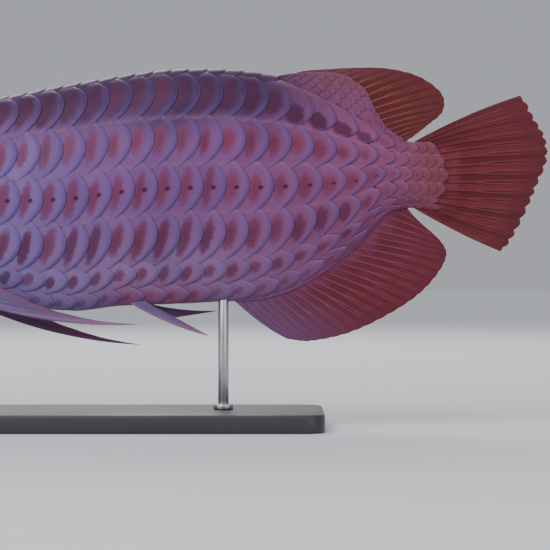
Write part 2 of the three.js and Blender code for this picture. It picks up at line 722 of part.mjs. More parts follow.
put("head", head, HEAD_MAUVE);
put("lower_jaw", jaw, HEAD_MAUVE);
put("gill_cover_left", onSide(gillPlates, LEFT), GILL_PINK);
put("gill_cover_right", onSide(gillPlates, RIGHT), GILL_PINK);
put("eye_left", eyeSolid(LEFT), EYE_DARK);
put("eye_right", eyeSolid(RIGHT), EYE_DARK);
put("barbel_left", barbel(LEFT), PAIRED_PLUM);
put("barbel_right", barbel(RIGHT), PAIRED_PLUM);
put("trunk", trunk, SCALE_MAUVE);
put("tail_stalk", tailStalk, SCALE_MAUVE);
put("dorsal_fin", trimmed(dorsalFin()), DORSAL_RED);
put("anal_fin", trimmed(analFin()), ANAL_PLUM);
put("caudal_fin", trimmed(caudalFin()), FIN_RED);
put("pectoral_fin_left", trimmed(pectoralFin(LEFT, 0)), PAIRED_PLUM);
put("pectoral_fin_right", trimmed(pectoralFin(RIGHT, 6)), PAIRED_PLUM);
put("pelvic_fin_left", trimmed(pelvicFin(LEFT, [330, -17, -107], [300, -7, -91])), PAIRED_PLUM);
put("pelvic_fin_right", trimmed(pelvicFin(RIGHT, [335, 19, -91], [303, 9, -90])), PAIRED_PLUM);
put("stand_rod_front", trimmed(rodSolid(ROD_X.front)), ROD_STEEL);
put("stand_rod_rear", trimmed(rodSolid(ROD_X.rear)), ROD_STEEL);

// The origin is on the floor, at the middle of the whole length.
fish.position.z = AXIS_HEIGHT;
fish.updateMatrixWorld(true);
const reach = new THREE.Box3().setFromObject(fish, true);
fish.position.x = -(reach.min.x + reach.max.x) / 2;

const base = new THREE.Mesh(geometryOf(baseSolid()), STAND_BLACK);
base.name = "stand_base";
const part = new THREE.Group();
part.add(fish, base);

export default part;
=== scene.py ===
"""A life-size Asian arowana that swims over a plain display stand.

Sizes are millimetres in the fish's own frame: x runs back from the tip of the snout, and z up from the middle of
the tail stalk. A piece's mesh is put into the frame's metres when it is finished.
"""

import logging
import math
from dataclasses import dataclass, field
from enum import Enum
from functools import partial
from itertools import product
from typing import Callable, Sequence

import bmesh
import bpy
import numpy as np
from mathutils import Matrix, Vector


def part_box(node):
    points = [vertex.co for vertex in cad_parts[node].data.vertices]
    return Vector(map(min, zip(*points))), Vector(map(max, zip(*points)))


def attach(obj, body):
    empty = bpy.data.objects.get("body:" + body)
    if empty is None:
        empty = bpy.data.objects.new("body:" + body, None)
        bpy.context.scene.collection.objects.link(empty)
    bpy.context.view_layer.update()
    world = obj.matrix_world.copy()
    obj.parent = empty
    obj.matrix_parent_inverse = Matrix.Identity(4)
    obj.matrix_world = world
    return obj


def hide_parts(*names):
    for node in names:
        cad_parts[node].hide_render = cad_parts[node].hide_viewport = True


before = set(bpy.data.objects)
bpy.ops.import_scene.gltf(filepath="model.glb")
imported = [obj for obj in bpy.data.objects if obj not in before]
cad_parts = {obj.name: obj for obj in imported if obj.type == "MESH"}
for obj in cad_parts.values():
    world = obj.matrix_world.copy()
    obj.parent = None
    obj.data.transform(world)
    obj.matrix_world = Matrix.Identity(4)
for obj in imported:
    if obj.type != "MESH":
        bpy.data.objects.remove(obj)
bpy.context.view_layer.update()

Corner = bmesh.types.BMVert
Material = bpy.types.Material
Piece = bpy.types.Object
Socket = bpy.types.NodeSocket

log = logging.getLogger("arowana")

AXIS_HEIGHT = 168.0  # of the middle of the tail stalk over the floor
FRONT_ROD_X = 178.0
REAR_ROD_X = 338.0
STANDARD_LENGTH = 480.0  # from the snout to the root of the tail fin
GAPE_END_X = 53.2  # where the mouth ends, on the cheek
SEED = 11


class Side(Enum):
    """The two sides of the fish, by the sign of y."""

    LEFT = -1
    RIGHT = 1


def rod_centre_x(name: str) -> float:
    """The x of a rod's middle in the frame, in metres."""
    low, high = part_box(name)
    return (low[0] + high[0]) / 2


SNOUT_X = rod_centre_x("stand_rod_front") - FRONT_ROD_X / 1000


def to_frame(points: np.ndarray) -> np.ndarray:
    """Turn millimetres of the fish's frame into metres of the whole part's frame.

    Args:
        points: rows of x, y, z.

    Returns:
        The same rows in metres.
    """
    metres = np.asarray(points, dtype=float) / 1000
    metres[:, 0] += SNOUT_X
    metres[:, 2] += AXIS_HEIGHT / 1000
    return metres


def srgb(hex_colour: str) -> tuple[float, float, float, float]:
    """Turn an sRGB hex colour into linear RGBA.

    Args:
        hex_colour: the colour, such as #56345f.

    Returns:
        The linear colour, opaque.
    """
    parts = [int(hex_colour[i : i + 2], 16) / 255 for i in (1, 3, 5)]
    linear = [c / 12.92 if c <= 0.04045 else ((c + 0.055) / 1.055) ** 2.4 for c in parts]
    return (*linear, 1.0)


def ease(t: np.ndarray | float) -> np.ndarray | float:
    """A smooth step from 0 to 1."""
    t = np.clip(t, 0, 1)
    return t * t * (3 - 2 * t)


def mix(a: float, b: float, t: np.ndarray | float) -> np.ndarray | float:
    """A straight blend from a to b."""
    return a + (b - a) * t


def bump(distance: np.ndarray, width: float) -> np.ndarray:
    """A soft round hump of height 1, for reliefs."""
    return np.exp(-((distance / width) ** 2))


def line_distance(x: np.ndarray, z: np.ndarray, line: Sequence[tuple[float, float]]) -> np.ndarray:
    """The distance in side view from points to a line of straight stretches.

    Args:
        x: places along the fish.
        z: heights.
        line: the line's corners.

    Returns:
        The distances, negative below the line.
    """
    best = np.full(np.shape(x), 1e6)
    for (ax, az), (bx, bz) in zip(line, line[1:]):
        dx, dz = bx - ax, bz - az
        t = np.clip(((x - ax) * dx + (z - az) * dz) / (dx * dx + dz * dz), 0, 1)
        gap_x, gap_z = x - ax - t * dx, z - az - t * dz
        gap = np.hypot(gap_x, gap_z) * np.where(gap_z * dx - gap_x * dz < 0, -1, 1)
        best = np.where(np.abs(gap) < np.abs(best), gap, best)
    return best


def smooth_line(rows: Sequence[tuple[float, float]], x: np.ndarray) -> np.ndarray:
    """Read a smooth curve. It runs on the root of x, so that the snout comes out round.

    Args:
        rows: its [x, value] corners.
        x: where it is read.

    Returns:
        The value at each x.
    """
    at = np.sqrt([row[0] for row in rows])
    value = np.array([row[1] for row in rows])
    before = np.maximum(np.arange(len(rows)) - 1, 0)
    after = np.minimum(np.arange(len(rows)) + 1, len(rows) - 1)
    slope = (value[after] - value[before]) / (at[after] - at[before])
    q = np.sqrt(np.maximum(x, 0))
    i = np.clip(np.searchsorted(at, q, side="right") - 1, 0, len(rows) - 2)
    span = at[i + 1] - at[i]
    t = np.minimum(1, (q - at[i]) / span)
    bend = span * (t * (1 - t) ** 2 * slope[i] - t * t * (1 - t) * slope[i + 1])
    return mix(value[i], value[i + 1], t * t * (3 - 2 * t)) + bend


def path(points: Sequence[Sequence[float]], t: np.ndarray) -> np.ndarray:
    """Read a smooth path through points, at shares of its parameter.

    Args:
        points: rows of x, z or of x, y, z.
        t: shares from 0 to 1.

    Returns:
        One x, y, z row for each share.
    """
    corners = np.array([(p[0], 0.0, p[1]) if len(p) == 2 else p for p in points], dtype=float)
    corners = np.vstack([2 * corners[0] - corners[1], corners, 2 * corners[-1] - corners[-2]])
    run = np.clip(t, 0, 1) * (len(corners) - 3)
    i = np.minimum(run.astype(int), len(corners) - 4)
    f = (run - i)[:, None]
    a, b, c, d = (corners[i + k] for k in range(4))
    return 0.5 * (2 * b + (c - a) * f + (2 * a - 5 * b + 4 * c - d) * f**2 + (3 * b - a - 3 * c + d) * f**3)


@dataclass
class BodyForm:
    """The plain surface of the body, from which the skin, the scales and the plates are raised."""

    back: Sequence[tuple[float, float]] = (
        (0, 9), (3, 11.8), (23, 14.6), (46, 18), (96, 28.4), (156, 43), (223, 57), (289, 68), (322, 69.8),
        (356, 68), (382, 62.6), (409, 50.4), (435, 34.6), (455, 23.4), (480, 23.2), (500, 25),
    )
    belly: Sequence[tuple[float, float]] = (
        (0, 9), (1.5, 4.2), (5, -2.5), (15, -15), (30, -27.6), (53, -42.6), (83, -56), (123, -69),
        (163, -79), (205, -86.8), (240, -90.2), (268, -87), (300, -85.8), (336, -84), (366, -80.6), (386, -73.5),
        (407, -61.2), (428, -45), (446, -26), (459, -21.8), (480, -23.6), (500, -25),
    )
    half_width: Sequence[tuple[float, float]] = (
        (0, 0), (1.2, 5), (4, 8.2), (12, 12), (23, 14.8), (37, 17.4), (57, 20.8), (83, 23.8), (130, 26.4),
        (190, 27.4), (256, 27), (316, 25), (360, 20.6), (410, 14.2), (456, 8.6), (480, 6.2), (500, 5),
    )
    length: float = 500.0
    stations: int = 700
    girth_steps: int = 181
    y: np.ndarray = field(init=False)
    z: np.ndarray = field(init=False)

    def __post_init__(self) -> None:
        """Work out the sections once, at even shares of the half girth."""
        shares = np.linspace(0, 1, self.girth_steps)
        angle = np.linspace(0, math.pi, 361)
        upper = angle <= math.pi / 2
        self.y = np.zeros((self.stations, self.girth_steps))
        self.z = np.zeros_like(self.y)
        for i, root_x in enumerate(np.linspace(0, math.sqrt(self.length), self.stations)):
            x = np.array([root_x**2])
            top, bottom, half = (float(smooth_line(r, x)[0]) for r in (self.back, self.belly, self.half_width))
            middle = mix(bottom, top, 0.53)
            body = float(ease((x[0] - 60) / 120))
            power = 2 / np.where(upper, mix(2.7, 2.1, body), mix(2.1, 1.7, body))
            rise = np.abs(np.cos(angle)) ** power * np.where(upper, top - middle, middle - bottom)
            z = middle + np.where(upper, rise, -rise)
            y = half * np.abs(np.sin(angle)) ** power
            y[-1] = 0
            run = np.concatenate([[0], np.cumsum(np.hypot(np.diff(y), np.diff(z)))])
            run /= max(run[-1], 1e-9)
            self.y[i] = np.interp(shares, run, y)
            self.z[i] = np.interp(shares, run, z)

    def plain(self, x: np.ndarray, girth: np.ndarray) -> np.ndarray:
        """Points of the plain surface.

        Args:
            x: places along the fish.
            girth: signed shares of the half girth, 0 on the back and 1 or -1 at the keel; the left is negative.

        Returns:
            One x, y, z row for each place.
        """
        girth = (np.asarray(girth, dtype=float) + 1) % 2 - 1
        x = np.asarray(x, dtype=float)
        row = np.sqrt(np.clip(x, 0, self.length) / self.length) * (self.stations - 1)
        column = np.abs(girth) * (self.girth_steps - 1)
        i = np.minimum(row.astype(int), self.stations - 2)
        j = np.minimum(column.astype(int), self.girth_steps - 2)
        r, c = row - i, column - j
        flat = [
            mix(mix(t[i, j], t[i, j + 1], c), mix(t[i + 1, j], t[i + 1, j + 1], c), r) for t in (self.y, self.z)
        ]
        narrowed = 1 - 0.62 * ease((x - 464) / 24)
        return np.stack([x, np.where(girth < 0, -1, 1) * flat[0] * narrowed, flat[1]], axis=-1)

    def raised(self, x: np.ndarray, girth: np.ndarray, lift: np.ndarray | float) -> np.ndarray:
        """Points held over the plain surface, square to it.

        Args:
            x: places along the fish.
            girth: signed shares of the half girth.
            lift: how far over the surface, in millimetres.

        Returns:
            One x, y, z row for each place.
        """
        step_x = 0.4 + 0.01 * np.asarray(x)
        along = self.plain(np.asarray(x) + step_x, girth) - self.plain(np.maximum(np.asarray(x) - step_x, 0), girth)
        around = self.plain(x, np.asarray(girth) + 0.006) - self.plain(x, np.asarray(girth) - 0.006)
        normal = np.cross(along, around)
        normal /= np.maximum(np.linalg.norm(normal, axis=-1, keepdims=True), 1e-9)
        return self.plain(x, girth) + normal * np.broadcast_to(lift, np.shape(x))[..., None]

    def girth_of(self, x: np.ndarray, z: np.ndarray) -> np.ndarray:
        """Find where the surface has a height.

        Args:
            x: places along the fish.
            z: the height at each.

        Returns:
            The share of the half girth there, from 0 to 1.
        """
        rows = (np.sqrt(np.clip(x, 0, self.length) / self.length) * (self.stations - 1)).round().astype(int)
        shares = np.linspace(0, 1, self.girth_steps)
        return np.array([np.interp(-h, -self.z[r], shares) for r, h in zip(rows, z)])


BODY = BodyForm()


def tail_end(girth: np.ndarray | float) -> np.ndarray | float:
    """Where the scaled skin ends on the tail fin: furthest back at mid height."""
    return 475 + 11.5 * np.sin(np.pi * np.clip(np.abs(girth), 0, 1)) ** 0.7


class Mesh:
    """A mesh under construction, made of bmesh grids whose corners are placed in the fish's frame."""

    def __init__(self, *values: str) -> None:
        """Start with an empty bmesh.

        Args:
            values: the names of the numbers that each vertex carries. Scales, which carry a rim, also get a UV map.
        """
        self.bm = bmesh.new()
        self.values = {name: self.bm.verts.layers.float.new(name) for name in values}
        self.uv = self.bm.loops.layers.uv.new("OFBake") if "rim" in values else None

    def grid(self, across: int, along: int) -> tuple[list[Corner], np.ndarray, np.ndarray]:
        """Add a flat grid of one by one.

        Args:
            across: faces in the first direction.
            along: faces in the second direction.

        Returns:
            Its vertices, and the two coordinates of each from 0 to 1.
        """
        made = bmesh.ops.create_grid(self.bm, x_segments=across, y_segments=along, size=0.5)["verts"]
        places = np.array([v.co[:] for v in made])
        return made, places[:, 0] + 0.5, places[:, 1] + 0.5

    def place(self, verts: Sequence[Corner], points: np.ndarray) -> None:
        """Move vertices to points given in millimetres of the fish's frame."""
        for vert, point in zip(verts, to_frame(points)):
            vert.co = point

    def write(self, name: str, verts: Sequence[Corner], values: np.ndarray | float) -> None:
        """Store a number with each vertex, for the materials to read.

        Args:
            name: the number's name.
            verts: the vertices.
            values: one number for each, or one for all.
        """
        layer = self.bm.verts.layers.float[name]
        for vert, value in zip(verts, np.broadcast_to(values, len(verts))):
            vert[layer] = float(value)

    def unwrap(self, verts: Sequence[Corner], u: np.ndarray, v: np.ndarray) -> None:
        """Give the faces around these vertices their place on the unwrap.

        Args:
            verts: the vertices of whole faces.
            u: how far along the unwrap each is.
            v: how far up it each is.
        """
        place = {vert: (float(a), float(b)) for vert, a, b in zip(verts, u, v)}
        for face in {face for vert in verts for face in vert.link_faces}:
            for loop in face.loops:
                loop[self.uv].uv = place[loop.vert]

    def round_edges(self, edges: Sequence[bmesh.types.BMEdge], offset: float, segments: int) -> None:
        """Bevel edges round.

        Args:
            edges: the edges.
            offset: the bevel's reach, in metres.
            segments: its faces across.
        """
        bmesh.ops.bevel(
            self.bm, geom=edges, offset=offset, segments=segments, profile=0.5, affect="EDGES", material=-1
        )

    def finish(self, name: str, material: Material, weld: float = 0.0, flip: bool = False) -> Piece:
        """Make the object.

        Args:
            name: the piece's name.
            material: its finish.
            weld: the distance within which corners are merged, in millimetres.
            flip: whether its faces were made facing inwards.

        Returns:
            The new object, which rides on the root.
        """
        if weld:
            bmesh.ops.remove_doubles(self.bm, verts=self.bm.verts[:], dist=weld / 1000)
            bmesh.ops.recalc_face_normals(self.bm, faces=self.bm.faces[:])
        elif flip:
            bmesh.ops.reverse_faces(self.bm, faces=self.bm.faces[:])
        for face in self.bm.faces:
            face.smooth = True
        mesh = bpy.data.meshes.new(name)
        self.bm.to_mesh(mesh)
        self.bm.free()
        made = bpy.data.objects.new(name, mesh)
        bpy.context.scene.collection.objects.link(made)
        mesh.materials.append(material)
        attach(made, "root")
        log.info("%s: %d faces", name, len(mesh.polygons))
        return made


BACK_PLUM = "#1e0826"
FLANK_MAUVE = "#6e4678"
BELLY_LILAC = "#8c7098"
# painted blue sheen: the light-blue glints of the shoulder, laid into the colour
SHOULDER_SHEEN_BLUE = "#7470b0"
TAIL_ROSE = "#7c3c5a"
VENT_ROSE = "#8a4060"
FIN_ROOT_RED = "#78342a"
DORSAL_BROWN = "#704038"
PALE_GREY_PINK = "#7a5a84"
SPOT_RED = "#742c38"
# dark heart of the spots, and also the painted shade under each overlapping scale edge
SPOT_AND_SHADE_DARK = "#441a30"
SPOT_EDGE = "#6c3654"
SPOT_SHADE = "#441a36"
RIM_LAVENDER = "#6a5696"
RIM_PINK = "#946c90"
PORE_DARK = "#2a0e22"
SEAM_PINK = "#865f74"
GILL_PEARL = "#563f62"
GILL_ROSE = "#742c48"
# painted shade of the head's grooves and pits, and the dark of its sutures, pores and crown
HEAD_SHADE_AND_MARK_DARK = "#2c1c2a"
LIP_RED = "#702838"
STREAK_RED = "#48000c"


class Node(Enum):
    """The kinds of node in the finishes: its type, the inputs that are set, the output that is read, its settings."""

    TIMES = ("ShaderNodeMath", (0, 1), 0, {"operation": "MULTIPLY"})
    PLUS = ("ShaderNodeMath", (0, 1), 0, {"operation": "ADD"})
    MINUS = ("ShaderNodeMath", (0, 1), 0, {"operation": "SUBTRACT"})
    OVER = ("ShaderNodeMath", (0, 1), 0, {"operation": "DIVIDE"})
    POWER = ("ShaderNodeMath", (0, 1), 0, {"operation": "POWER"})
    SIZE = ("ShaderNodeMath", (0,), 0, {"operation": "ABSOLUTE"})
    WAVE = ("ShaderNodeMath", (0,), 0, {"operation": "SINE"})
    STEP = ("ShaderNodeMapRange", (0, 1, 2), 0, {"interpolation_type": "SMOOTHSTEP"})
    MIX = ("ShaderNodeMix", (0, 6, 7), 2, {"data_type": "RGBA"})
    CARRIED = ("ShaderNodeAttribute", (), "Fac", {})
    PLACE = ("ShaderNodeTexCoord", (), "Object", {})
    AXES = ("ShaderNodeSeparateXYZ", (0,), "X", {})
    STRETCH = ("ShaderNodeMapping", ("Vector", "Scale"), "Vector", {})
    NOISE = ("ShaderNodeTexNoise", ("Vector", "Scale", "Detail"), "Fac", {})
    BUMP = ("ShaderNodeBump", ("Strength", "Distance", "Height", "Normal"), "Normal", {})


def socket_name(key: str) -> str:
    """The shader's own name of an input, such as Specular IOR Level for specular_ior_level."""
    return key.replace("_", " ").title().replace("Ior", "IOR")


class Finish:
    """A material with a Principled shader, built up by the finishes below."""

    def __init__(self, name: str, **constants: float | tuple) -> None:
        """Make the material.

        Args:
            name: the material's name.
            constants: the shader's inputs that stay the same all over.
        """
        self.material = bpy.data.materials.new(name)
        self.material.use_nodes = True
        self.tree = self.material.node_tree
        self.shader = self.tree.nodes["Principled BSDF"]
        for key, value in constants.items():
            self.shader.inputs[socket_name(key)].default_value = value

    def add(self, node: Node, *values: Socket | float | tuple | str | None, **settings: str) -> Socket:
        """Add a node with its settings, values and links.

        Args:
            node: the kind of node.
            values: for its inputs in order, the socket that feeds each, or its number, vector or sRGB hex colour.
            settings: the node's own settings, beside those of its kind.

        Returns:
            The output that is read of such a node.
        """
        kind, inputs, output, fixed = node.value
        made = self.tree.nodes.new(kind)
        for name, setting in {**fixed, **settings}.items():
            setattr(made, name, setting)
        for key, value in zip(inputs, values):
            if isinstance(value, Socket):
                self.tree.links.new(value, made.inputs[key])
            elif value is not None:
                made.inputs[key].default_value = srgb(value) if isinstance(value, str) else value
        return made.outputs[output]

    def carried(self, *names: str) -> list[Socket]:
        """The numbers of these names that the mesh carries."""
        return [self.add(Node.CARRIED, attribute_name=name) for name in names]

    def axes(self) -> tuple[Socket, Socket]:
        """Where a place is along the fish and how high it is, in metres of the whole part's frame."""
        x = self.add(Node.AXES, self.add(Node.PLACE))
        return x, x.node.outputs["Z"]

    def grain(self, size_mm: float, detail: float = 2.0, stretch: tuple[float, float, float] = (1, 1, 1)) -> Socket:
        """Lay noise over the piece.

        Args:
            size_mm: how far across its grains are.
            detail: how many finer layers it has.
            stretch: the share of the noise's own scale along each axis.

        Returns:
            The noise, about 0.5 on average.
        """
        vector = self.add(Node.STRETCH, self.add(Node.PLACE), stretch)
        return self.add(Node.NOISE, vector, 1000 / size_mm, detail)

    def relief(self, height: Socket, depth_mm: float, under: Socket | None = None) -> Socket:
        """The normal of a relief of the given depth, laid over another relief's normal."""
        return self.add(Node.BUMP, 1.0, depth_mm / 1000, height, under)

    def dress(self, **sockets: Socket) -> Material:
        """Link sockets to the shader.

        Args:
            sockets: for an input of the shader, what feeds it.

        Returns:
            The material.
        """
        for key, socket in sockets.items():
            self.tree.links.new(socket, self.shader.inputs[socket_name(key)])
        return self.material

    def flesh(self) -> Socket:
        """Mix the ground colour that skin and scales share: dark on the back, a painted blue sheen on the shoulder,
        pink to the tail.

        Returns:
            The colour.
        """
        x, z = self.axes()
        wander = self.add(Node.TIMES, self.add(Node.MINUS, self.grain(34, 3), 0.5), 0.03)
        height = self.add(Node.PLUS, z, wander)
        ground = self.add(Node.MIX, self.add(Node.STEP, height, 0.075, 0.15), BELLY_LILAC, FLANK_MAUVE)
        to_tail = self.add(Node.STEP, self.add(Node.PLUS, x, wander), 0.02, 0.19)
        ground = self.add(Node.MIX, to_tail, ground, TAIL_ROSE)
        ground = self.add(Node.MIX, self.add(Node.STEP, x, 0.18, 0.214), ground, FIN_ROOT_RED)
        # Painted sheen: a blue glint painted over the lower front of the body.
        front = self.add(Node.STEP, x, 0.03, -0.1)
        low = self.add(Node.MINUS, 1.0, self.add(Node.STEP, height, 0.165, 0.215))
        ground = self.add(Node.MIX, self.add(Node.TIMES, self.add(Node.TIMES, front, low), 0.6), ground, SHOULDER_SHEEN_BLUE)
        at_pelvis = self.add(Node.TIMES, self.add(Node.STEP, x, -0.012, 0.012), self.add(Node.STEP, x, 0.08, 0.045))
        at_pelvis = self.add(Node.TIMES, at_pelvis, self.add(Node.STEP, z, 0.104, 0.086))
        ground = self.add(Node.MIX, self.add(Node.TIMES, at_pelvis, 0.7), ground, VENT_ROSE)
        back = self.add(Node.STEP, height, 0.186, 0.216)
        back = self.add(Node.TIMES, back, self.add(Node.STEP, x, 0.17, 0.09))
        ground = self.add(Node.MIX, self.add(Node.TIMES, back, 0.95), ground, BACK_PLUM)
        at_dorsal = self.add(Node.TIMES, self.add(Node.STEP, x, 0.105, 0.15), self.add(Node.STEP, z, 0.208, 0.234))
        ground = self.add(Node.MIX, self.add(Node.TIMES, at_dorsal, 0.75), ground, DORSAL_BROWN)
        return self.add(Node.MIX, self.add(Node.TIMES, self.grain(9, 4), 0.3), ground, PALE_GREY_PINK)


@dataclass(frozen=True)
class ScaleFinish:
    """Wet fish scale: a thin horny plate under clear slime, so it shines softly, with a deep red heart."""

    def make(self) -> Material:
        """Build the material.

        Returns:
            The material.
        """
        f = Finish("wet_fish_scale", roughness=0.44, coat_weight=0.07, coat_roughness=0.2, specular_ior_level=0.35,
                   specular_tint=srgb("#a88cc8"))
        across, ahead, behind, slant, rim_share = f.carried("across", "ahead", "behind", "slant", "rim")
        spot_ahead, spot_across, spot_depth = f.carried("spot_ahead", "spot_across", "spot_depth")
        spot_height, strength, warmth = f.carried("spot_height", "spot_strength", "warmth")
        pored, chance = f.carried("pore", "chance")
        ragged = f.add(Node.TIMES, f.add(Node.MINUS, f.grain(2.6, 3), 0.5), 0.8)
        upright = f.add(Node.MINUS, behind, f.add(Node.TIMES, across, slant))
        deep = f.add(Node.OVER, f.add(Node.MINUS, upright, spot_ahead), spot_depth)
        tall = f.add(Node.OVER, f.add(Node.MINUS, across, spot_across), spot_height)
        square = f.add(Node.PLUS, f.add(Node.TIMES, deep, deep), f.add(Node.TIMES, tall, tall))
        radius = f.add(Node.PLUS, f.add(Node.POWER, square, 0.5), ragged)
        spot = f.add(Node.MINUS, 1.0, f.add(Node.STEP, radius, 0.75, 1.3))
        heart = f.add(Node.MIX, warmth, SPOT_AND_SHADE_DARK, SPOT_RED)
        fringe = f.add(Node.MIX, f.add(Node.STEP, warmth, 0.0, 0.6), SPOT_SHADE, SPOT_EDGE)
        heart = f.add(Node.MIX, f.add(Node.STEP, radius, 0.2, 1.0), heart, fringe)
        ground = f.flesh()
        rim = f.add(Node.STEP, ahead, 0.42, 0.02)
        rim_here = f.add(Node.TIMES, rim, rim_share)
        x, z = f.axes()
        rim_here = f.add(Node.TIMES, rim_here, f.add(Node.STEP, x, 0.23, 0.17))
        rim_here = f.add(Node.TIMES, rim_here, f.add(Node.STEP, z, 0.245, 0.19))
        coloured = f.add(Node.MIX, rim_here, ground, RIM_LAVENDER)
        coloured = f.add(Node.MIX, f.add(Node.TIMES, spot, strength), coloured, heart)
        beside = f.add(Node.STEP, f.add(Node.SIZE, across), 0.6, 0.92)
        coloured = f.add(Node.MIX, f.add(Node.TIMES, beside, 0.5), coloured, SEAM_PINK)
        edge = f.add(Node.TIMES, f.add(Node.STEP, ahead, 0.085, 0.0), rim_share)
        coloured = f.add(Node.MIX, f.add(Node.TIMES, edge, 0.45), coloured, RIM_PINK)
        # Painted shade: darkens each scale just under the free edge of the scale in front of it.
        under = f.add(Node.TIMES, f.add(Node.STEP, ahead, 0.98, 1.2), 0.2)
        coloured = f.add(Node.MIX, under, coloured, SPOT_AND_SHADE_DARK)
        pore = f.add(Node.TIMES, self.pore(f, across, ahead), pored)
        coloured = f.add(Node.MIX, f.add(Node.TIMES, pore, 0.8), coloured, PORE_DARK)
        coloured = f.add(Node.MIX, f.add(Node.TIMES, chance, 0.16), coloured, BACK_PLUM)
        rings = f.add(Node.WAVE, f.add(Node.TIMES, ahead, RING_PHASE))
        normal = f.relief(rings, 0.018)
        normal = f.relief(f.grain(0.9, 2), 0.05, normal)
        return f.dress(base_color=coloured, normal=normal)

    def pore(self, f: Finish, across: Socket, ahead: Socket) -> Socket:
        """Draw the dark pore of a lateral line scale: a small dot near the middle of its free part.

        Args:
            f: the finish that it is part of.
            across: the place across the scale, from -1 to 1.
            ahead: how far ahead of the free edge a place is, in pitches.

        Returns:
            The dot's share, 1 at its middle.
        """
        side = f.add(Node.OVER, across, 0.075)
        deep = f.add(Node.OVER, f.add(Node.MINUS, ahead, 0.55), 0.12)
        radius = f.add(Node.PLUS, f.add(Node.TIMES, side, side), f.add(Node.TIMES, deep, deep))
        return f.add(Node.STEP, radius, 1.4, 0.3)


RING_PHASE = 62.0  # radians of the growth rings in one pitch: rings of 1.5 mm, coarser than real ones so that they show


@dataclass(frozen=True)
class SkinFinish:
    """Wet skin over the bones of the head: smooth, with the bones' fine rays showing through as sheen."""

    name: str
    pearly: float

    def make(self) -> Material:
        """Build the material.

        Returns:
            The material.
        """
        f = Finish(self.name, roughness=0.32, coat_weight=0.3, coat_roughness=0.16, ior=1.45,
                   specular_tint=srgb("#c8b4dc"))
        ground = f.flesh()
        ground = f.add(Node.MIX, self.pearly, ground, GILL_PEARL)
        blotch = f.add(Node.STEP, f.grain(12, 4), 0.45, 0.72)
        ground = f.add(Node.MIX, f.add(Node.TIMES, blotch, 0.62), ground, GILL_ROSE)
        # dark carries painted shade in the mouth groove, the eye socket, the nostrils and at the gill cover's tucked
        # edge, and the real dark of sutures, pores, crown and barbels.
        dark, red = f.carried("dark", "red")
        ground = f.add(Node.MIX, dark, ground, HEAD_SHADE_AND_MARK_DARK)
        ground = f.add(Node.MIX, red, ground, LIP_RED)
        striae = f.grain(1.6, 3, (0.25, 1, 1))
        normal = f.relief(striae, 0.16)
        normal = f.relief(f.grain(5, 2), 0.25, normal)
        return f.dress(base_color=ground, normal=normal)


@dataclass(frozen=True)
class FinFinish:
    """Wet fin: jointed bony rays under thin skin, which is stained with red between them."""

    name: str
    root: str
    skin: str
    ray: str
    margin: str
    streak: float
    front: str
    paired_gaps: int = 0

    def make(self) -> Material:
        """Build the material.

        Returns:
            The material.
        """
        f = Finish(self.name, roughness=0.42, coat_weight=0.1, coat_roughness=0.25, specular_ior_level=0.3,
                   subsurface_weight=0.1, subsurface_scale=0.003)
        ray, along, across, length_mm = f.carried("ray", "along", "across", "length_mm")
        wander = f.add(Node.TIMES, f.add(Node.MINUS, f.grain(11, 3), 0.5), 0.5)
        run = f.add(Node.PLUS, along, wander)
        skin = f.add(Node.MIX, f.add(Node.STEP, run, 0.0, 0.4), self.root, self.skin)
        streaked = f.add(Node.TIMES, f.add(Node.STEP, run, 0.08, 0.34), f.add(Node.STEP, run, 1.1, 0.8))
        streaked = f.add(Node.TIMES, streaked, f.add(Node.STEP, f.grain(9, 3, (0.5, 1, 1)), 0.25, 0.5))
        if self.paired_gaps:
            swing = f.add(Node.WAVE, f.add(Node.TIMES, across, math.pi * self.paired_gaps))
            streaked = f.add(Node.TIMES, streaked, f.add(Node.STEP, swing, -0.9, 0.3))
            bare = f.add(Node.TIMES, f.add(Node.STEP, swing, 0.1, -0.8), f.add(Node.STEP, run, 0.2, 0.4))
            skin = f.add(Node.MIX, f.add(Node.TIMES, bare, 0.6), skin, self.ray)
        skin = f.add(Node.MIX, f.add(Node.TIMES, streaked, self.streak), skin, STREAK_RED)
        bone = f.add(Node.MIX, f.add(Node.STEP, run, 0.0, 0.45), self.root, self.ray)
        coloured = f.add(Node.MIX, f.add(Node.STEP, ray, 0.15, 0.75), skin, bone)
        coloured = f.add(Node.MIX, f.add(Node.TIMES, f.add(Node.STEP, run, 0.7, 1.05), 0.75), coloured, self.margin)
        coloured = f.add(Node.MIX, f.add(Node.TIMES, f.add(Node.STEP, across, 0.42, 0.0), 0.6), coloured, self.front)
        joints = f.add(Node.WAVE, f.add(Node.TIMES, length_mm, 2 * math.pi / JOINT_MM))
        jointed = f.add(Node.TIMES, ray, f.add(Node.STEP, along, 0.15, 0.4))
        jointed = f.add(Node.TIMES, f.add(Node.STEP, joints, 0.5, 0.95), jointed)
        coloured = f.add(Node.MIX, f.add(Node.TIMES, jointed, 0.35), coloured, STREAK_RED)
        normal = f.relief(f.add(Node.MINUS, 1.0, jointed), 0.2)
        normal = f.relief(f.add(Node.PLUS, f.grain(0.9, 2), across), 0.08, normal)
        return f.dress(base_color=coloured, normal=normal)


JOINT_MM = 2.4  # between a ray's joints, drawn coarser than the real ones so that they show


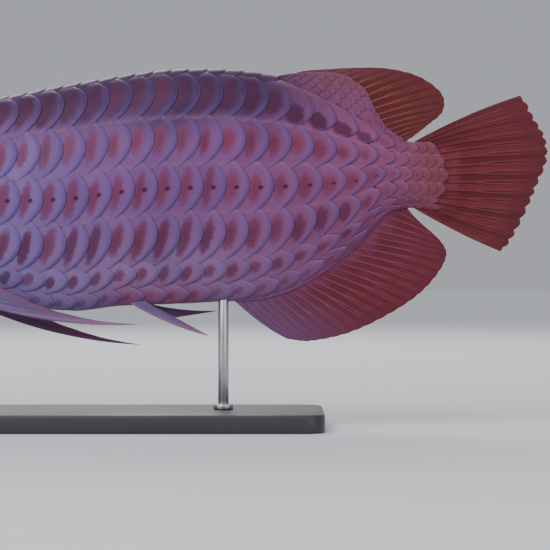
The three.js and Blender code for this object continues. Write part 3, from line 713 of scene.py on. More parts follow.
@dataclass(frozen=True)
class EyeFinish:
    """Living eye: a clear wet cornea over a coppery iris with a round black pupil."""

    x: float
    z: float
    pupil: float = 4.1
    iris: float = 8.4

    def make(self) -> Material:
        """Build the material.

        Returns:
            The material.
        """
        f = Finish("wet_eye", roughness=0.08, coat_weight=1.0, coat_roughness=0.03, ior=1.38)
        x, z = f.axes()
        centre = to_frame(np.array([[self.x, 0.0, self.z]]))[0]
        dx = f.add(Node.MINUS, x, float(centre[0]))
        dz = f.add(Node.MINUS, z, float(centre[2]))
        square = f.add(Node.PLUS, f.add(Node.TIMES, dx, dx), f.add(Node.TIMES, dz, dz))
        radius = f.add(Node.TIMES, f.add(Node.POWER, square, 0.5), 1000.0)
        iris = f.add(Node.MIX, f.add(Node.STEP, f.grain(1.3, 3), 0.35, 0.7), "#8a4a34", "#b98a5c")
        iris = f.add(Node.MIX, f.add(Node.STEP, radius, self.iris - 2.2, self.iris), iris, "#4a2326")
        iris = f.add(Node.MIX, f.add(Node.STEP, radius, self.pupil + 0.9, self.pupil + 0.2), iris, "#d8b27a")
        eye = f.add(Node.MIX, f.add(Node.STEP, radius, self.pupil + 0.25, self.pupil - 0.1), iris, "#040305")
        return f.dress(base_color=eye)


@dataclass(frozen=True)
class StandFinishes:
    """The stand: a board sprayed satin black, whose fine orange peel softens the light, and ground steel rods."""

    def board(self) -> Material:
        """Build the sprayed board.

        Returns:
            The material.
        """
        f = Finish("sprayed_satin_board", roughness=0.42, ior=1.5)
        colour = f.add(Node.MIX, f.add(Node.TIMES, f.grain(60, 2), 0.35), "#2b2b2e", "#35353a")
        rough = f.add(Node.PLUS, f.add(Node.TIMES, f.grain(9, 3), 0.12), 0.36)
        return f.dress(base_color=colour, roughness=rough, normal=f.relief(f.grain(1.4, 1), 0.03))

    def rod(self) -> Material:
        """Build the ground steel, with faint rings from the grinding.

        Returns:
            The material.
        """
        f = Finish("ground_steel", metallic=1.0, roughness=0.3)
        rings = f.grain(0.5, 2, (0.05, 0.05, 1))
        colour = f.add(Node.MIX, f.add(Node.TIMES, rings, 0.4), "#b4b4b6", "#8d8d90")
        rough = f.add(Node.PLUS, f.add(Node.TIMES, rings, 0.16), 0.22)
        return f.dress(base_color=colour, roughness=rough, normal=f.relief(rings, 0.02))


@dataclass
class Head:
    """The features of the head: mouth, lips, eyes, nostrils, gill covers and barbels."""

    mouth: Sequence[tuple[float, float]] = ((0, 9), (26.6, -9.75), (53.2, -25.3))
    jaw_end: Sequence[tuple[float, float]] = ((53.2, -25.3), (58, -46))
    eye_x: float = 31.0
    eye_z: float = 1.8
    eye_radius: float = 10.0
    eye_thick: float = 6.4
    eye_proud: float = 2.8
    nostrils: Sequence[tuple[float, float]] = ((7.5, 7.6), (15.5, 8.2))
    sutures: Sequence[Sequence[tuple[float, float]]] = (
        ((43, 9), (60, 13), (84, 14)),
        ((43, -5), (60, -7), (80, -6)),
        ((88, 17), (82, 5), (79.5, -8), (81, -24), (87, -42), (84, -60)),
        ((56, -17), (66, -22), (80, -20)),
        ((60, 12), (59, -6)),
    )
    pore_rows: Sequence[Sequence[tuple[float, float]]] = (
        ((20, -1), (30, -12), (42, -15), (56, -12), (74, -12)),
        ((9, -6), (26, -20), (45, -33), (62, -42), (80, -46)),
        ((14, 12), (30, 13.6), (48, 15), (66, 17)),
    )
    feeler: Sequence[tuple[float, float, float]] = (
        (4, 3.4, -1), (-3, 4.2, -1.6), (-10, 5.5, 1), (-17, 7.4, 5), (-25, 10, 9),
    )
    gill_centre: tuple[float, float] = (92.0, -14.0)
    gill_reach: tuple[float, float] = (38.0, 33.0)
    gill_angles: tuple[float, float] = (-80.0, 75.0)

    def relief(self, x: np.ndarray, z: np.ndarray) -> dict[str, np.ndarray]:
        """How far the skin stands over the plain surface, and how dark and how red it is.

        Args:
            x: places along the head.
            z: heights.

        Returns:
            The numbers lift, dark and red for each place.
        """
        mouth = line_distance(x, z, self.mouth)
        in_mouth = ease((GAPE_END_X + 1.5 - x) / 3)
        lift = in_mouth * (0.9 * bump(np.abs(mouth) - 2.6, 1.9) - 1.9 * bump(mouth, 0.75))
        jaw = line_distance(x, z, self.jaw_end)
        lift += 0.7 * bump(jaw - 2.5, 3.5) - 0.5 * bump(jaw, 0.8)
        lift += 1.3 * bump(np.hypot((x - 50) / 10, (z + 19 + (x - 50) * 0.5) / 4.2), 1.0)
        eye = np.hypot(x - self.eye_x, z - self.eye_z)
        lift += 1.5 * bump(eye - self.eye_radius - 0.9, 1.5) - 3.2 * ease((self.eye_radius - eye) / 2.5)
        for nostril in self.nostrils:
            gap = np.hypot(x - nostril[0], (z - nostril[1]) * 1.3)
            lift += 0.6 * bump(gap - 1.9, 0.8) - 1.6 * bump(gap, 1.1)
        # Painted shade: dark in the mouth groove and in the socket round the eyeball.
        dark = np.maximum(in_mouth * bump(mouth, 0.7), 0.9 * ease((self.eye_radius + 0.4 - eye) / 1.2))
        for suture in self.sutures:
            gap = line_distance(x, z, suture)
            lift -= 0.55 * bump(gap, 0.8)
            lift += 0.25 * bump(np.abs(gap) - 2.2, 1.6)
            dark = np.maximum(dark, 0.25 * bump(gap, 0.8))
        for row in self.pore_rows:
            for place in path(row, np.linspace(0, 1, 9)):
                gap = np.hypot(x - place[0], z - place[2])
                lift -= 0.5 * bump(gap, 0.75)
                dark = np.maximum(dark, 0.55 * bump(gap, 0.7))
        # Painted shade: dark in the nostril pits.
        for nostril in self.nostrils:
            dark = np.maximum(dark, 0.9 * bump(np.hypot(x - nostril[0], z - nostril[1]), 1.1))
        red = in_mouth * 0.45 * bump(np.abs(mouth) - 2.6, 2.2)
        return {"lift": lift, "dark": dark, "red": red}

    def gill_cover(self, side: Side, material: Material) -> Piece:
        """Build the gill cover of one side, a thin bony flap that is free along its round rear edge.

        Args:
            side: the side that it is on.
            material: its finish.

        Returns:
            The new piece.
        """
        mesh = Mesh("dark", "red")
        verts, u, v = mesh.grid(70, 84)
        angle = np.radians(mix(*self.gill_angles, v))
        (cx, cz), (rx, rz) = self.gill_centre, self.gill_reach
        rear_x, rear_z = cx + rx * np.cos(angle), cz + rz * np.sin(angle)
        front = path(((90, -44.5), (82, -34), (79, -14), (81, 4), (87, 15)), v)
        x, z = mix(front[:, 0], rear_x, u), mix(front[:, 2], rear_z, u)
        rim = np.minimum(np.minimum(u * 26, (1 - u) * 40), np.minimum(v, 1 - v) * 60)
        suture = line_distance(x, z, ((85, -33), (105, -34), (122, -28)))
        rays = np.sin(np.arctan2(z - 8, x - 84) * 46) * 0.09 * ease((np.hypot(x - 84, z - 8) - 5) / 20)
        lift = mix(-0.4, 1.25, ease(rim / 2.2)) + 0.5 * np.sin(np.pi * u) * np.sin(np.pi * v) + rays
        lift = lift - 0.5 * bump(suture, 0.9) + 0.2 * bump(suture - 2.4, 1.6)
        girth = BODY.girth_of(x, z) * side.value
        mesh.place(verts, BODY.raised(x, girth, lift))
        # Painted shade: dark along the free rear edge, where the cover tucks in; the dark along the suture is the
        # bone's seam.
        mesh.write("dark", verts, 0.22 * bump(suture, 1.0) + 0.3 * bump(1 - u, 0.02))
        mesh.write("red", verts, 0.35 * bump(1 - u, 0.07))
        made = mesh.finish("gill_cover_plate_" + side.name.lower(), material, flip=side is Side.LEFT)
        thick = made.modifiers.new("thickness", "SOLIDIFY")
        thick.thickness, thick.offset = 0.0009, -1.0
        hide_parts("gill_cover_" + side.name.lower())
        return made

    def eye(self, side: Side, material: Material) -> Piece:
        """Build one eye, a flattened ball with a fuller cornea.

        Args:
            side: the side that it is on.
            material: its finish.

        Returns:
            The new piece.
        """
        mesh = Mesh()
        made = bmesh.ops.create_uvsphere(mesh.bm, u_segments=64, v_segments=40, radius=1.0)["verts"]
        bmesh.ops.rotate(mesh.bm, verts=made, matrix=Matrix.Rotation(math.pi / 2, 3, "X"))
        points = np.array([v.co[:] for v in made])
        radius = np.hypot(points[:, 0], points[:, 2])
        swell = 0.5 * bump(radius, 0.5) * (points[:, 1] * side.value > 0)
        skin_y = BODY.plain(np.array([self.eye_x]), np.array([0.42]))[0, 1]
        centre_y = side.value * (skin_y + self.eye_proud - self.eye_thick)
        x = self.eye_x + points[:, 0] * self.eye_radius
        y = centre_y + points[:, 1] * (self.eye_thick + swell)
        mesh.place(made, np.stack([x, y, self.eye_z + points[:, 2] * self.eye_radius], axis=-1))
        eye = mesh.finish("eyeball_" + side.name.lower(), material)
        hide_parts("eye_" + side.name.lower())
        return eye

    def barbel(self, side: Side, material: Material) -> Piece:
        """Build one barbel, a soft feeler that tapers forward from the chin.

        Args:
            side: the side that it is on.
            material: its finish.

        Returns:
            The new piece.
        """
        mesh = Mesh("dark", "red")
        verts, u, v = mesh.grid(20, 60)
        points = [(x, side.value * y, z) for x, y, z in self.feeler]
        centre = path(points, v)
        ahead = path(points, np.minimum(v + 0.01, 1)) - path(points, np.maximum(v - 0.01, 0))
        ahead /= np.linalg.norm(ahead, axis=1, keepdims=True)
        out = np.cross(ahead, (0.0, 0.0, 1.0))
        out /= np.linalg.norm(out, axis=1, keepdims=True)
        up = np.cross(out, ahead)
        radius = mix(1.35, 0.42, v) * np.sqrt(np.clip((1 - v) * 40, 0, 1)) * (1 + 0.04 * np.sin(v * 90))
        turn = 2 * np.pi * u
        mesh.place(verts, centre + radius[:, None] * (np.cos(turn)[:, None] * out + np.sin(turn)[:, None] * up))
        mesh.write("dark", verts, 0.1)
        mesh.write("red", verts, 0.35 * v)
        barbel = mesh.finish("feeler_" + side.name.lower(), material, weld=0.02)
        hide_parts("barbel_" + side.name.lower())
        return barbel


@dataclass
class Skin:
    """The skin of the whole fish in one piece, under the scales and bare on the head."""

    head: Head
    depth: float = 0.7
    bare_to: float = 84.0
    columns: int = 420
    around: int = 240

    def build(self, material: Material) -> Piece:
        """Build the skin from one grid that is wrapped round the body.

        Args:
            material: its finish.

        Returns:
            The new piece.
        """
        mesh = Mesh("dark", "red")
        verts, u, v = mesh.grid(self.around, self.columns)
        x = 482 * np.where(v < 0.55, 0.28 * (v / 0.55) ** 1.25, 0.28 + 0.72 * (v - 0.55) / 0.45)
        girth = u * 2 - 1
        x = x + (tail_end(girth) - 482) * ease((x - 430) / 52)
        z = BODY.plain(x, girth)[:, 2]
        features = self.head.relief(x, z)
        sides = ease((np.abs(BODY.plain(x, girth)[:, 1]) - 1.5) / 4)
        fade = ease((100 - x) / 12) * sides
        sunk = self.depth * ease((x - self.bare_to) / 14)
        lift = features["lift"] * fade - sunk
        points = BODY.raised(x, girth, lift * ease(x / 2.5))
        points[v > 0.999, 1] *= 0.02
        mesh.place(verts, points)
        crown = 0.5 * ease((z - smooth_line(BODY.back, x) + 8) / 8) * ease((110 - x) / 15)
        mesh.write("dark", verts, np.maximum(features["dark"] * fade, crown))
        mesh.write("red", verts, np.maximum(features["red"] * fade, ease((x - 460) / 14)))
        skin = mesh.finish("skin", material, weld=0.03)
        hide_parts("head", "lower_jaw", "trunk", "tail_stalk")
        return skin


SCALE_VALUES = (
    "across", "ahead", "behind", "slant", "spot_ahead", "spot_across", "spot_depth", "spot_height", "spot_strength",
    "warmth", "rim", "pore", "chance",
)


@dataclass(frozen=True)
class ScaleRow:
    """One row of scales along the body, and the spot that each of its scales carries."""

    low: float
    high: float
    shift: float
    spot_height: float
    spot_depth: float
    strength: float
    warmth: float
    slant: float = 0.2
    lean: float = 0.16
    pore: float = 0.0
    start: float = 100.0
    pitch_share: float = 1.0
    lift_share: float = 1.0
    sink: float = 0.0


@dataclass
class ScaleCoat:
    """Large overlapping scales in rows, each a thin crowned plate with a free rounded rear edge."""

    pitch: float = 14.9
    tail_pitch_share: float = 0.62
    lift: float = 1.3
    overlap: float = 1.3
    bulge: float = 1.05
    first_tip: float = 114.6
    faces_across: int = 11
    faces_along: int = 7
    rows: Sequence[ScaleRow] = (
        ScaleRow(0.060, 0.242, 0.0, 0.56, 0.34, 0.95, 0.0, slant=0.4, start=92, sink=0.34),
        ScaleRow(0.242, 0.424, 0.0, 0.50, 0.27, 0.88, 0.75, start=112),
        ScaleRow(0.424, 0.613, 0.14, 0.60, 0.26, 0.82, 0.75, slant=0.26, pore=1.0, start=119),
        ScaleRow(0.613, 0.800, 0.10, 0.60, 0.27, 0.88, 0.4, slant=0.36, lean=0.3, start=112),
        ScaleRow(0.800, 0.898, 0.18, 0.46, 0.22, 0.80, 0.35, lean=0.1, start=98),
        ScaleRow(0.898, 0.985, 0.5, 0.34, 0.17, 0.42, 0.3, lean=0.0, start=92),
    )
    random: np.random.Generator = field(default_factory=lambda: np.random.default_rng(SEED))

    def tips(self, row: ScaleRow) -> list[tuple[float, float]]:
        """Lay out a row.

        Args:
            row: the row.

        Returns:
            Where each free edge reaches furthest back, and the pitch there.
        """
        found = []
        tip = self.first_tip - 3 * self.pitch
        while tip < float(tail_end((row.low + row.high) / 2)) + 3:
            shrink = mix(1, self.tail_pitch_share, float(ease((tip - 405) / 60)))
            pitch = self.pitch * shrink * mix(1, 0.62, float(ease((tip - 438) / 36)))
            drift = row.shift * pitch + 0.3 * row.pore * pitch * float(ease((tip - 345) / 70))
            if tip + drift > row.start + 3:
                found.append((tip + drift, pitch * row.pitch_share))
            tip += pitch * row.pitch_share
        return found

    def plate(
        self, mesh: Mesh, row: ScaleRow, tip: float, pitch: float, place_girth: Callable[[np.ndarray], np.ndarray],
        unwrap_v: float, unwrap_height: float, first: bool = False,
    ) -> None:
        """Add one scale.

        Args:
            mesh: the coat that it joins.
            row: its row.
            tip: where its free edge reaches furthest back.
            pitch: the length of the row's scales that shows.
            place_girth: turns the place across the scale, from -1 to 1, into a signed share of the half girth.
            unwrap_v: the middle of the row on the unwrap.
            unwrap_height: the height that its patch may take there.
            first: whether nothing lies over its front.
        """
        finer = 3 if first else 1
        verts, u, v = mesh.grid(self.faces_across * finer, self.faces_along * finer)
        a = u * 2 - 1
        b = v**0.8
        chance, tilt, size = self.random.random(3)
        rounded = np.abs(a) ** 2.1
        rear = tip - self.bulge * pitch * rounded - row.lean * pitch * a
        long = pitch * mix(2.0, 0.75, rounded) * mix(0.96, 1.04, size)
        x = rear - long * (1 - b)
        ahead = (rear - x) / pitch
        lift = row.lift_share * self.lift * mix(0.93, 1.07, tilt) * b**1.1 * (1 - 0.85 * np.abs(a) ** 2.6) - 0.35
        lift += 0.25 * np.sin(np.pi * np.clip(ahead, 0, 1)) * (1 - a * a)
        if first:
            lift -= 2.6 * (1 - ease(b / 0.75)) + 0.9 * a**4
        small = ease((484 - x) / 60)
        girth = place_girth(a)
        mesh.place(verts, BODY.raised(np.minimum(x, 489), girth, lift * mix(0.7, 1.0, small)))
        rear_share = float(ease((tip - 330) / 90))
        sink = row.sink * float(ease((tip - 372) / 32))
        fading = 1 - 0.75 * float(ease((tip - 432) / 26))
        # On the first scale of a row ahead is capped, which keeps the painted shade of an overlapping edge off its bare
        # front.
        values = {
            "across": a, "ahead": np.minimum(ahead, 0.86) if first else ahead, "behind": (tip - x) / pitch,
            "slant": row.slant * (1 - 0.8 * rear_share),
            "spot_ahead": 0.8, "spot_across": mix(-0.06, 0.06, tilt) + sink,
            "spot_depth": row.spot_depth * mix(0.85, 1.15, size) * mix(1, 1.3, rear_share),
            "spot_height": row.spot_height * mix(0.85, 1.1, chance) * mix(1, 0.8, rear_share),
            "spot_strength": row.strength * mix(0.85, 1.0, tilt) * fading,
            "warmth": np.clip(row.warmth + mix(-0.2, 0.2, size), 0, 1),
            "rim": mix(0.4, 0.68, chance), "pore": row.pore, "chance": chance,
        }
        for name, value in values.items():
            mesh.write(name, verts, value)
        patch = 0.8 * pitch / STANDARD_LENGTH
        mesh.unwrap(verts, 0.02 + 0.94 * tip / STANDARD_LENGTH + patch * (v - 1), unwrap_v + unwrap_height * (u - 0.5))

    def finish(self, mesh: Mesh, name: str, material: Material, flip: bool) -> Piece:
        """Turn the plates into one piece with their thickness.

        Args:
            mesh: the plates.
            name: the piece's name.
            material: its finish.
            flip: whether their faces point inwards.

        Returns:
            The new piece.
        """
        coat = mesh.finish(name, material, flip=flip)
        thick = coat.modifiers.new("thickness", "SOLIDIFY")
        thick.thickness, thick.offset = 0.00045, -1.0
        return coat

    @staticmethod
    def flank_girth(side: Side, middle: float, half: float, a: np.ndarray) -> np.ndarray:
        """Signed shares of the half girth at places a across a scale of a flank row."""
        return side.value * np.clip(middle + half * a, 0.02, 0.995)

    @staticmethod
    def ridge_girth(keel: bool, reach: float, a: np.ndarray) -> np.ndarray:
        """Signed shares of the half girth at places a across a scale astride the back or the keel."""
        return reach * a + (1 if keel else 0)

    def flank(self, side: Side, material: Material) -> Piece:
        """Build the rows of one side.

        Args:
            side: the side that they are on.
            material: its finish.

        Returns:
            The new piece.
        """
        mesh = Mesh(*SCALE_VALUES)
        for row in self.rows:
            middle, half = (row.low + row.high) / 2, (row.high - row.low) / 2 * self.overlap
            for number, (tip, pitch) in enumerate(self.tips(row)):
                squeeze = 1 - 0.12 * float(ease((tip - 400) / 70))
                place_girth = partial(self.flank_girth, side, middle, half * squeeze)
                centre, height = 0.5 + side.value * middle * 0.48, side.value * (row.high - row.low) * 0.4
                self.plate(mesh, row, tip, pitch, place_girth, centre, height, number == 0)
        return self.finish(mesh, "scales_" + side.name.lower(), material, side is Side.LEFT)

    def ridge(self, keel: bool, material: Material) -> Piece:
        """Build the row that lies astride the back or the keel.

        Args:
            keel: whether it is the keel.
            material: its finish.

        Returns:
            The new piece.
        """
        mesh = Mesh(*SCALE_VALUES)
        reach = 0.075 if keel else 0.105
        row = ScaleRow(0, reach, 0.5, 0.4, 0.3, 0.25, 0.1, lean=0.0, start=96, pitch_share=0.8, lift_share=0.5)
        for number, (tip, pitch) in enumerate(self.tips(row)):
            if tip > (345 if keel else 378):
                break
            place_girth = partial(self.ridge_girth, keel, reach)
            self.plate(mesh, row, tip, pitch, place_girth, 0.985 if keel else 0.5, 0.02, number == 0)
        return self.finish(mesh, "scales_keel" if keel else "scales_back", material, keel)


@dataclass
class Fin:
    """A fin: branched rays with thin skin between, wavy at the margin."""

    name: str
    rays: int
    root: Callable[[np.ndarray], np.ndarray]
    tip: Callable[[np.ndarray], np.ndarray]
    bow: Callable[[np.ndarray], np.ndarray]
    flat: bool = True
    notch: float = 1.0
    corner: float = 0.0
    ray_root: float = 0.95
    leading: float = 1.0
    steps: int = 64
    per_ray: int = 12
    first_branch: float = 0.42

    def build(self, material: Material, replaced: str, slot: str) -> Piece:
        """Build the fin from two grids, one for each face, which meet round the margin.

        Args:
            material: its finish.
            replaced: the node of the solids that it stands for.
            slot: not used.

        Returns:
            The new piece.
        """
        mesh = Mesh("ray", "along", "across", "length_mm")
        columns = (self.rays - 1) * self.per_ray
        middle = None
        for face in (1, -1):
            verts, t, run = mesh.grid(columns, self.steps)
            if middle is None:
                middle, normal, ridge, length = self.shape(t, run)
            edge = np.minimum(np.minimum(t, 1 - t) * columns, (1 - run) * self.steps)
            close = np.sqrt(np.clip(edge / 1.5, 0, 1))
            first = 1 + (self.leading - 1) * bump(t * (self.rays - 1), 0.6)
            bone = mix(self.ray_root * first, 0.2, run**0.6)
            half = (0.2 + bone * ridge) * close
            mesh.place(verts, middle + face * half[:, None] * normal)
            for name, value in (("ray", ridge), ("along", run), ("across", t), ("length_mm", length)):
                mesh.write(name, verts, value)
            if face == -1:
                near = set(verts)
                bmesh.ops.reverse_faces(mesh.bm, faces=list({f for v in near for f in v.link_faces}))
        fin = mesh.finish(self.name, material, weld=0.004)
        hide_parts(replaced)
        return fin

    def shape(self, t: np.ndarray, run: np.ndarray) -> tuple[np.ndarray, np.ndarray, np.ndarray, np.ndarray]:
        """Work out the fin at places on it.

        Args:
            t: shares across the fin, from the first ray to the last.
            run: shares along it, from root to margin.

        Returns:
            The middle surface, its normals, the height of the rays over it and the length run in millimetres.
        """
        phase = t * (self.rays - 1)
        off = np.abs(phase - np.round(phase))
        first = ease((run - self.first_branch) / 0.3)
        second = ease((run - self.first_branch - 0.28) / 0.25)
        spread = 0.16 * first
        twig = np.abs(off - spread)
        spread_fine = 0.075 * second
        twig = np.abs(twig - spread_fine)
        width = mix(0.17, 0.085, run) * mix(1, 0.75, first) * mix(1, 0.7, second)
        ridge = np.clip(1 - (twig / width) ** 2, 0, 1) ** 0.7 * mix(1, 0.7, first)
        ends = self.surface(t, np.ones_like(run))
        starts = self.surface(t, np.zeros_like(run))
        whole = np.linalg.norm(ends - starts, axis=1)
        valley = np.clip(np.abs(phase - np.round(phase)) * 2, 0, 1)
        nick = self.notch * (0.75 * valley**1.5 + 0.25 * (1 - np.clip(1 - (twig / width) ** 2, 0, 1)))
        nick = nick + 0.8 * self.notch * (0.5 + 0.5 * np.sin(np.round(phase) * 12.9898))
        nick = nick + self.corner * bump(np.minimum(t, 1 - t) * (self.rays - 1), 0.3)
        share = run * (1 - nick / np.maximum(whole, 1) * run**4)
        middle = self.surface(t, share)
        if self.flat:
            normal = np.broadcast_to(np.array([0.0, 1.0, 0.0]), middle.shape)
        else:
            along = self.surface(t, share + 0.01) - self.surface(t, share - 0.01)
            aside = self.surface(t + 0.01, share) - self.surface(t - 0.01, share)
            normal = np.cross(aside, along)
            normal /= np.maximum(np.linalg.norm(normal, axis=1, keepdims=True), 1e-9)
        return middle, normal, ridge, share * whole

    def surface(self, t: np.ndarray, run: np.ndarray) -> np.ndarray:
        """Points of the smooth middle surface.

        Args:
            t: shares across the fin.
            run: shares along it.

        Returns:
            One x, y, z row for each place.
        """
        t = np.clip(t, 0, 1)
        bend = (4 * run * (1 - run))[:, None]
        return self.root(t) * (1 - run)[:, None] + self.tip(t) * run[:, None] + self.bow(t) * bend


def stack(x: object, y: object, z: object, like: np.ndarray) -> np.ndarray:
    """Rows of x, y, z from numbers or arrays."""
    return np.stack([np.broadcast_to(v, like.shape) for v in (x, y, z)], axis=-1).astype(float)


@dataclass
class MedianFins:
    """The fins in the middle plane: dorsal, anal and tail fin, with the scaled sheaths at their roots."""

    root_depth: float = 7.0
    dorsal_tips: Sequence[tuple[float, float]] = (
        (399, 69.6), (424, 71.3), (447, 71), (468, 65.7), (483, 54.4), (484, 42.4), (474, 33), (464.6, 25.6),
    )
    anal_tips: Sequence[tuple[float, float]] = (
        (381, -109.2), (397, -110.6), (422, -105), (449, -92), (471.4, -76.4), (485.6, -57.6), (483.6, -45.2),
        (463, -26.8),
    )
    tail_roots: Sequence[tuple[float, float]] = ((462, 20.5), (474, 17), (479, 0), (474, -17.5), (462, -20.5))
    tail_tips: Sequence[tuple[float, float]] = (
        (538, 53.6), (546.4, 38.4), (554, 25), (554.6, 10), (547.4, -6.4), (541, -21), (533, -38.4), (525.2, -52),
    )
    sheath_tiers: int = 5
    sheath_pitch: float = 6.4

    def dorsal(self) -> Fin:
        """Shape the dorsal fin, set far back and swept to the rear.

        Returns:
            The fin, still to be built.
        """
        def root(t: np.ndarray) -> np.ndarray:
            """The fin's root, under the back."""
            x = mix(376, 456, t)
            return stack(x, 0, smooth_line(BODY.back, x) - mix(3, self.root_depth, ease(t * 2)), t)
        return Fin(
            "dorsal_fin_rays", 19, root, lambda t: path(self.dorsal_tips, t),
            lambda t: stack(-1, 0, mix(2.4, 1, t), t), notch=0.55,
        )

    def anal(self) -> Fin:
        """Shape the anal fin, longer and deeper than the dorsal.

        Returns:
            The fin, still to be built.
        """
        def root(t: np.ndarray) -> np.ndarray:
            """The fin's root, over the keel."""
            x = mix(343, 452, t)
            return stack(x, 0, smooth_line(BODY.belly, x) + mix(2, self.root_depth, ease(t * 3)), t)
        return Fin(
            "anal_fin_rays", 26, root, lambda t: path(self.anal_tips, t),
            lambda t: stack(1, 0, mix(-3, 1.4, ease(t * 3)), t), notch=0.55,
        )

    def tail(self) -> Fin:
        """Shape the tail fin, a broad fan with a ragged margin.

        Returns:
            The fin, still to be built.
        """
        return Fin(
            "tail_fin_rays", 17, lambda t: path(self.tail_roots, t), lambda t: path(self.tail_tips, t),
            lambda t: stack(0, 0, mix(2.6, -1.6, t), t),
            notch=2.2, corner=1.8, ray_root=2.0, first_branch=0.3, per_ray=16,
        )

    def sheath(self, name: str, line: Callable[[np.ndarray], np.ndarray], span: tuple[float, float], sign: float,
               height: Callable[[np.ndarray], np.ndarray], material: Material) -> Piece:
        """Build the scaled skin that runs up the root of a fin, as a thin wedge with small scales on both sides.

        Args:
            name: the piece's name.
            line: the body's outline under the fin.
            span: where the sheath starts and ends.
            sign: 1 above the body and -1 below it.
            height: how far it reaches up the fin, at shares of the span.
            material: the scales' finish.

        Returns:
            The new piece.
        """
        mesh = Mesh(*SCALE_VALUES)
        tiers, random = self.sheath_tiers, np.random.default_rng(SEED)
        length = span[1] - span[0]
        count = int(length / self.sheath_pitch)
        for side, tier, i in product((1, -1), range(tiers), range(count)):
            share = (i + 0.5 * (tier % 2)) / count
            rise = (tier + 0.2) / tiers
            verts, u, v = mesh.grid(6, 6)
            a, b = u * 2 - 1, v
            lag = np.clip(share + (b * 11 - 3 - 3.4 * np.abs(a) ** 2) / length, 0, 1)
            top = height(lag)
            up = np.clip(rise + 0.17 * a + 0.05 * b, -0.35, 1.02) * top
            x = mix(span[0], span[1], lag)
            wide = mix(4.6, 1.0, ease(up / np.maximum(top, 0.1) * 0.9 + 0.1)) * mix(1, 0.75, lag)
            wide = wide * mix(0.12, 1.0, ease(lag / 0.14))
            y = side * (wide + 0.75 * b * (1 - 0.6 * a * a) - 0.2)
            mesh.place(verts, np.stack([x, y, line(x) + sign * up], axis=-1))
            chance = random.random()
            spotted = sign > 0 and tier == 0 and i % 2 == 0 and share < 0.75
            values = {
                "across": a, "ahead": (1 - b) * 1.6, "behind": (1 - b) * 1.6, "slant": 0, "spot_ahead": 0.6,
                "spot_across": 0, "spot_depth": 0.4, "spot_height": 0.5, "spot_strength": 0.95 if spotted else 0.2,
                "warmth": 0.3 + 0.5 * chance, "rim": 0.25, "pore": 0, "chance": chance,
            }
            for key, value in values.items():
                mesh.write(key, verts, value)
            spot_u, spot_v = 0.02 + 0.94 * share, 0.5 + side * (0.03 + 0.085 * rise)
            mesh.unwrap(verts, spot_u + 0.008 * v, spot_v + side * 0.01 * u)
            if side * sign > 0:
                bmesh.ops.reverse_faces(mesh.bm, faces=list({f for w in verts for f in w.link_faces}))
        piece = mesh.finish(name, material)
        thick = piece.modifiers.new("thickness", "SOLIDIFY")
        thick.thickness, thick.offset = 0.0004, -1.0
        return piece


@dataclass
class PairedFins:
    """The long swept pectoral fins and the small pelvic fins."""

    pectoral_tips: Sequence[tuple[float, float, float]] = (
        (285.6, -53.6, -98.2), (262, -50.8, -96.2), (242, -46, -92.4), (222, -39, -86.8), (200, -31, -77.4),
        (160, -21.5, -61),
    )
    pectoral_roots: Sequence[tuple[float, float, float]] = ((122, -10, -58), (127, -13, -53), (131, -16, -47))

    def pectoral(self, side: Side, droop: float) -> Fin:
        """Shape one pectoral fin.

        Args:
            side: the side that it is on.
            droop: the degrees by which it is turned down about its root.

        Returns:
            The fin, still to be built.
        """
        pivot, turn = np.array([127.0, -14.0, -54.0]), math.radians(droop)

        def turned(points: np.ndarray) -> np.ndarray:
            """Points of the left fin, drooped and put on this side."""
            p = points - pivot
            x = p[:, 0] * math.cos(turn) + p[:, 2] * math.sin(turn)
            z = p[:, 2] * math.cos(turn) - p[:, 0] * math.sin(turn)
            return np.stack([x + pivot[0], -side.value * (p[:, 1] + pivot[1]), z + pivot[2]], axis=-1)

        return Fin(
            "pectoral_rays_" + side.name.lower(), 8,
            lambda t: turned(path(self.pectoral_roots, t)), lambda t: turned(path(self.pectoral_tips, t)),
            lambda t: stack(-3, side.value * mix(9, 3, t), mix(-12.5, -3, t), t),
            flat=False, notch=0.7, ray_root=1.0, leading=1.7, steps=72, first_branch=0.55,
        )

    def pelvic(self, side: Side, lead: tuple[float, float, float], trail: tuple[float, float, float]) -> Fin:
        """Shape one pelvic fin.

        Args:
            side: the side that it is on.
            lead: the tip of its first ray.
            trail: the tip of its last ray.

        Returns:
            The fin, still to be built.
        """
        roots = [(x, y * side.value, -81.0) for x, y in ((269, 3), (276, 4), (283, 5))]
        return Fin(
            "pelvic_rays_" + side.name.lower(), 6, lambda t: path(roots, t),
            lambda t: stack(*(mix(a, b, t) for a, b in zip(lead, trail)), t),
            lambda t: stack(0, side.value * 1.5, mix(-3, -1, t), t),
            flat=False, notch=0.5, ray_root=0.8, leading=1.4, steps=44,
        )


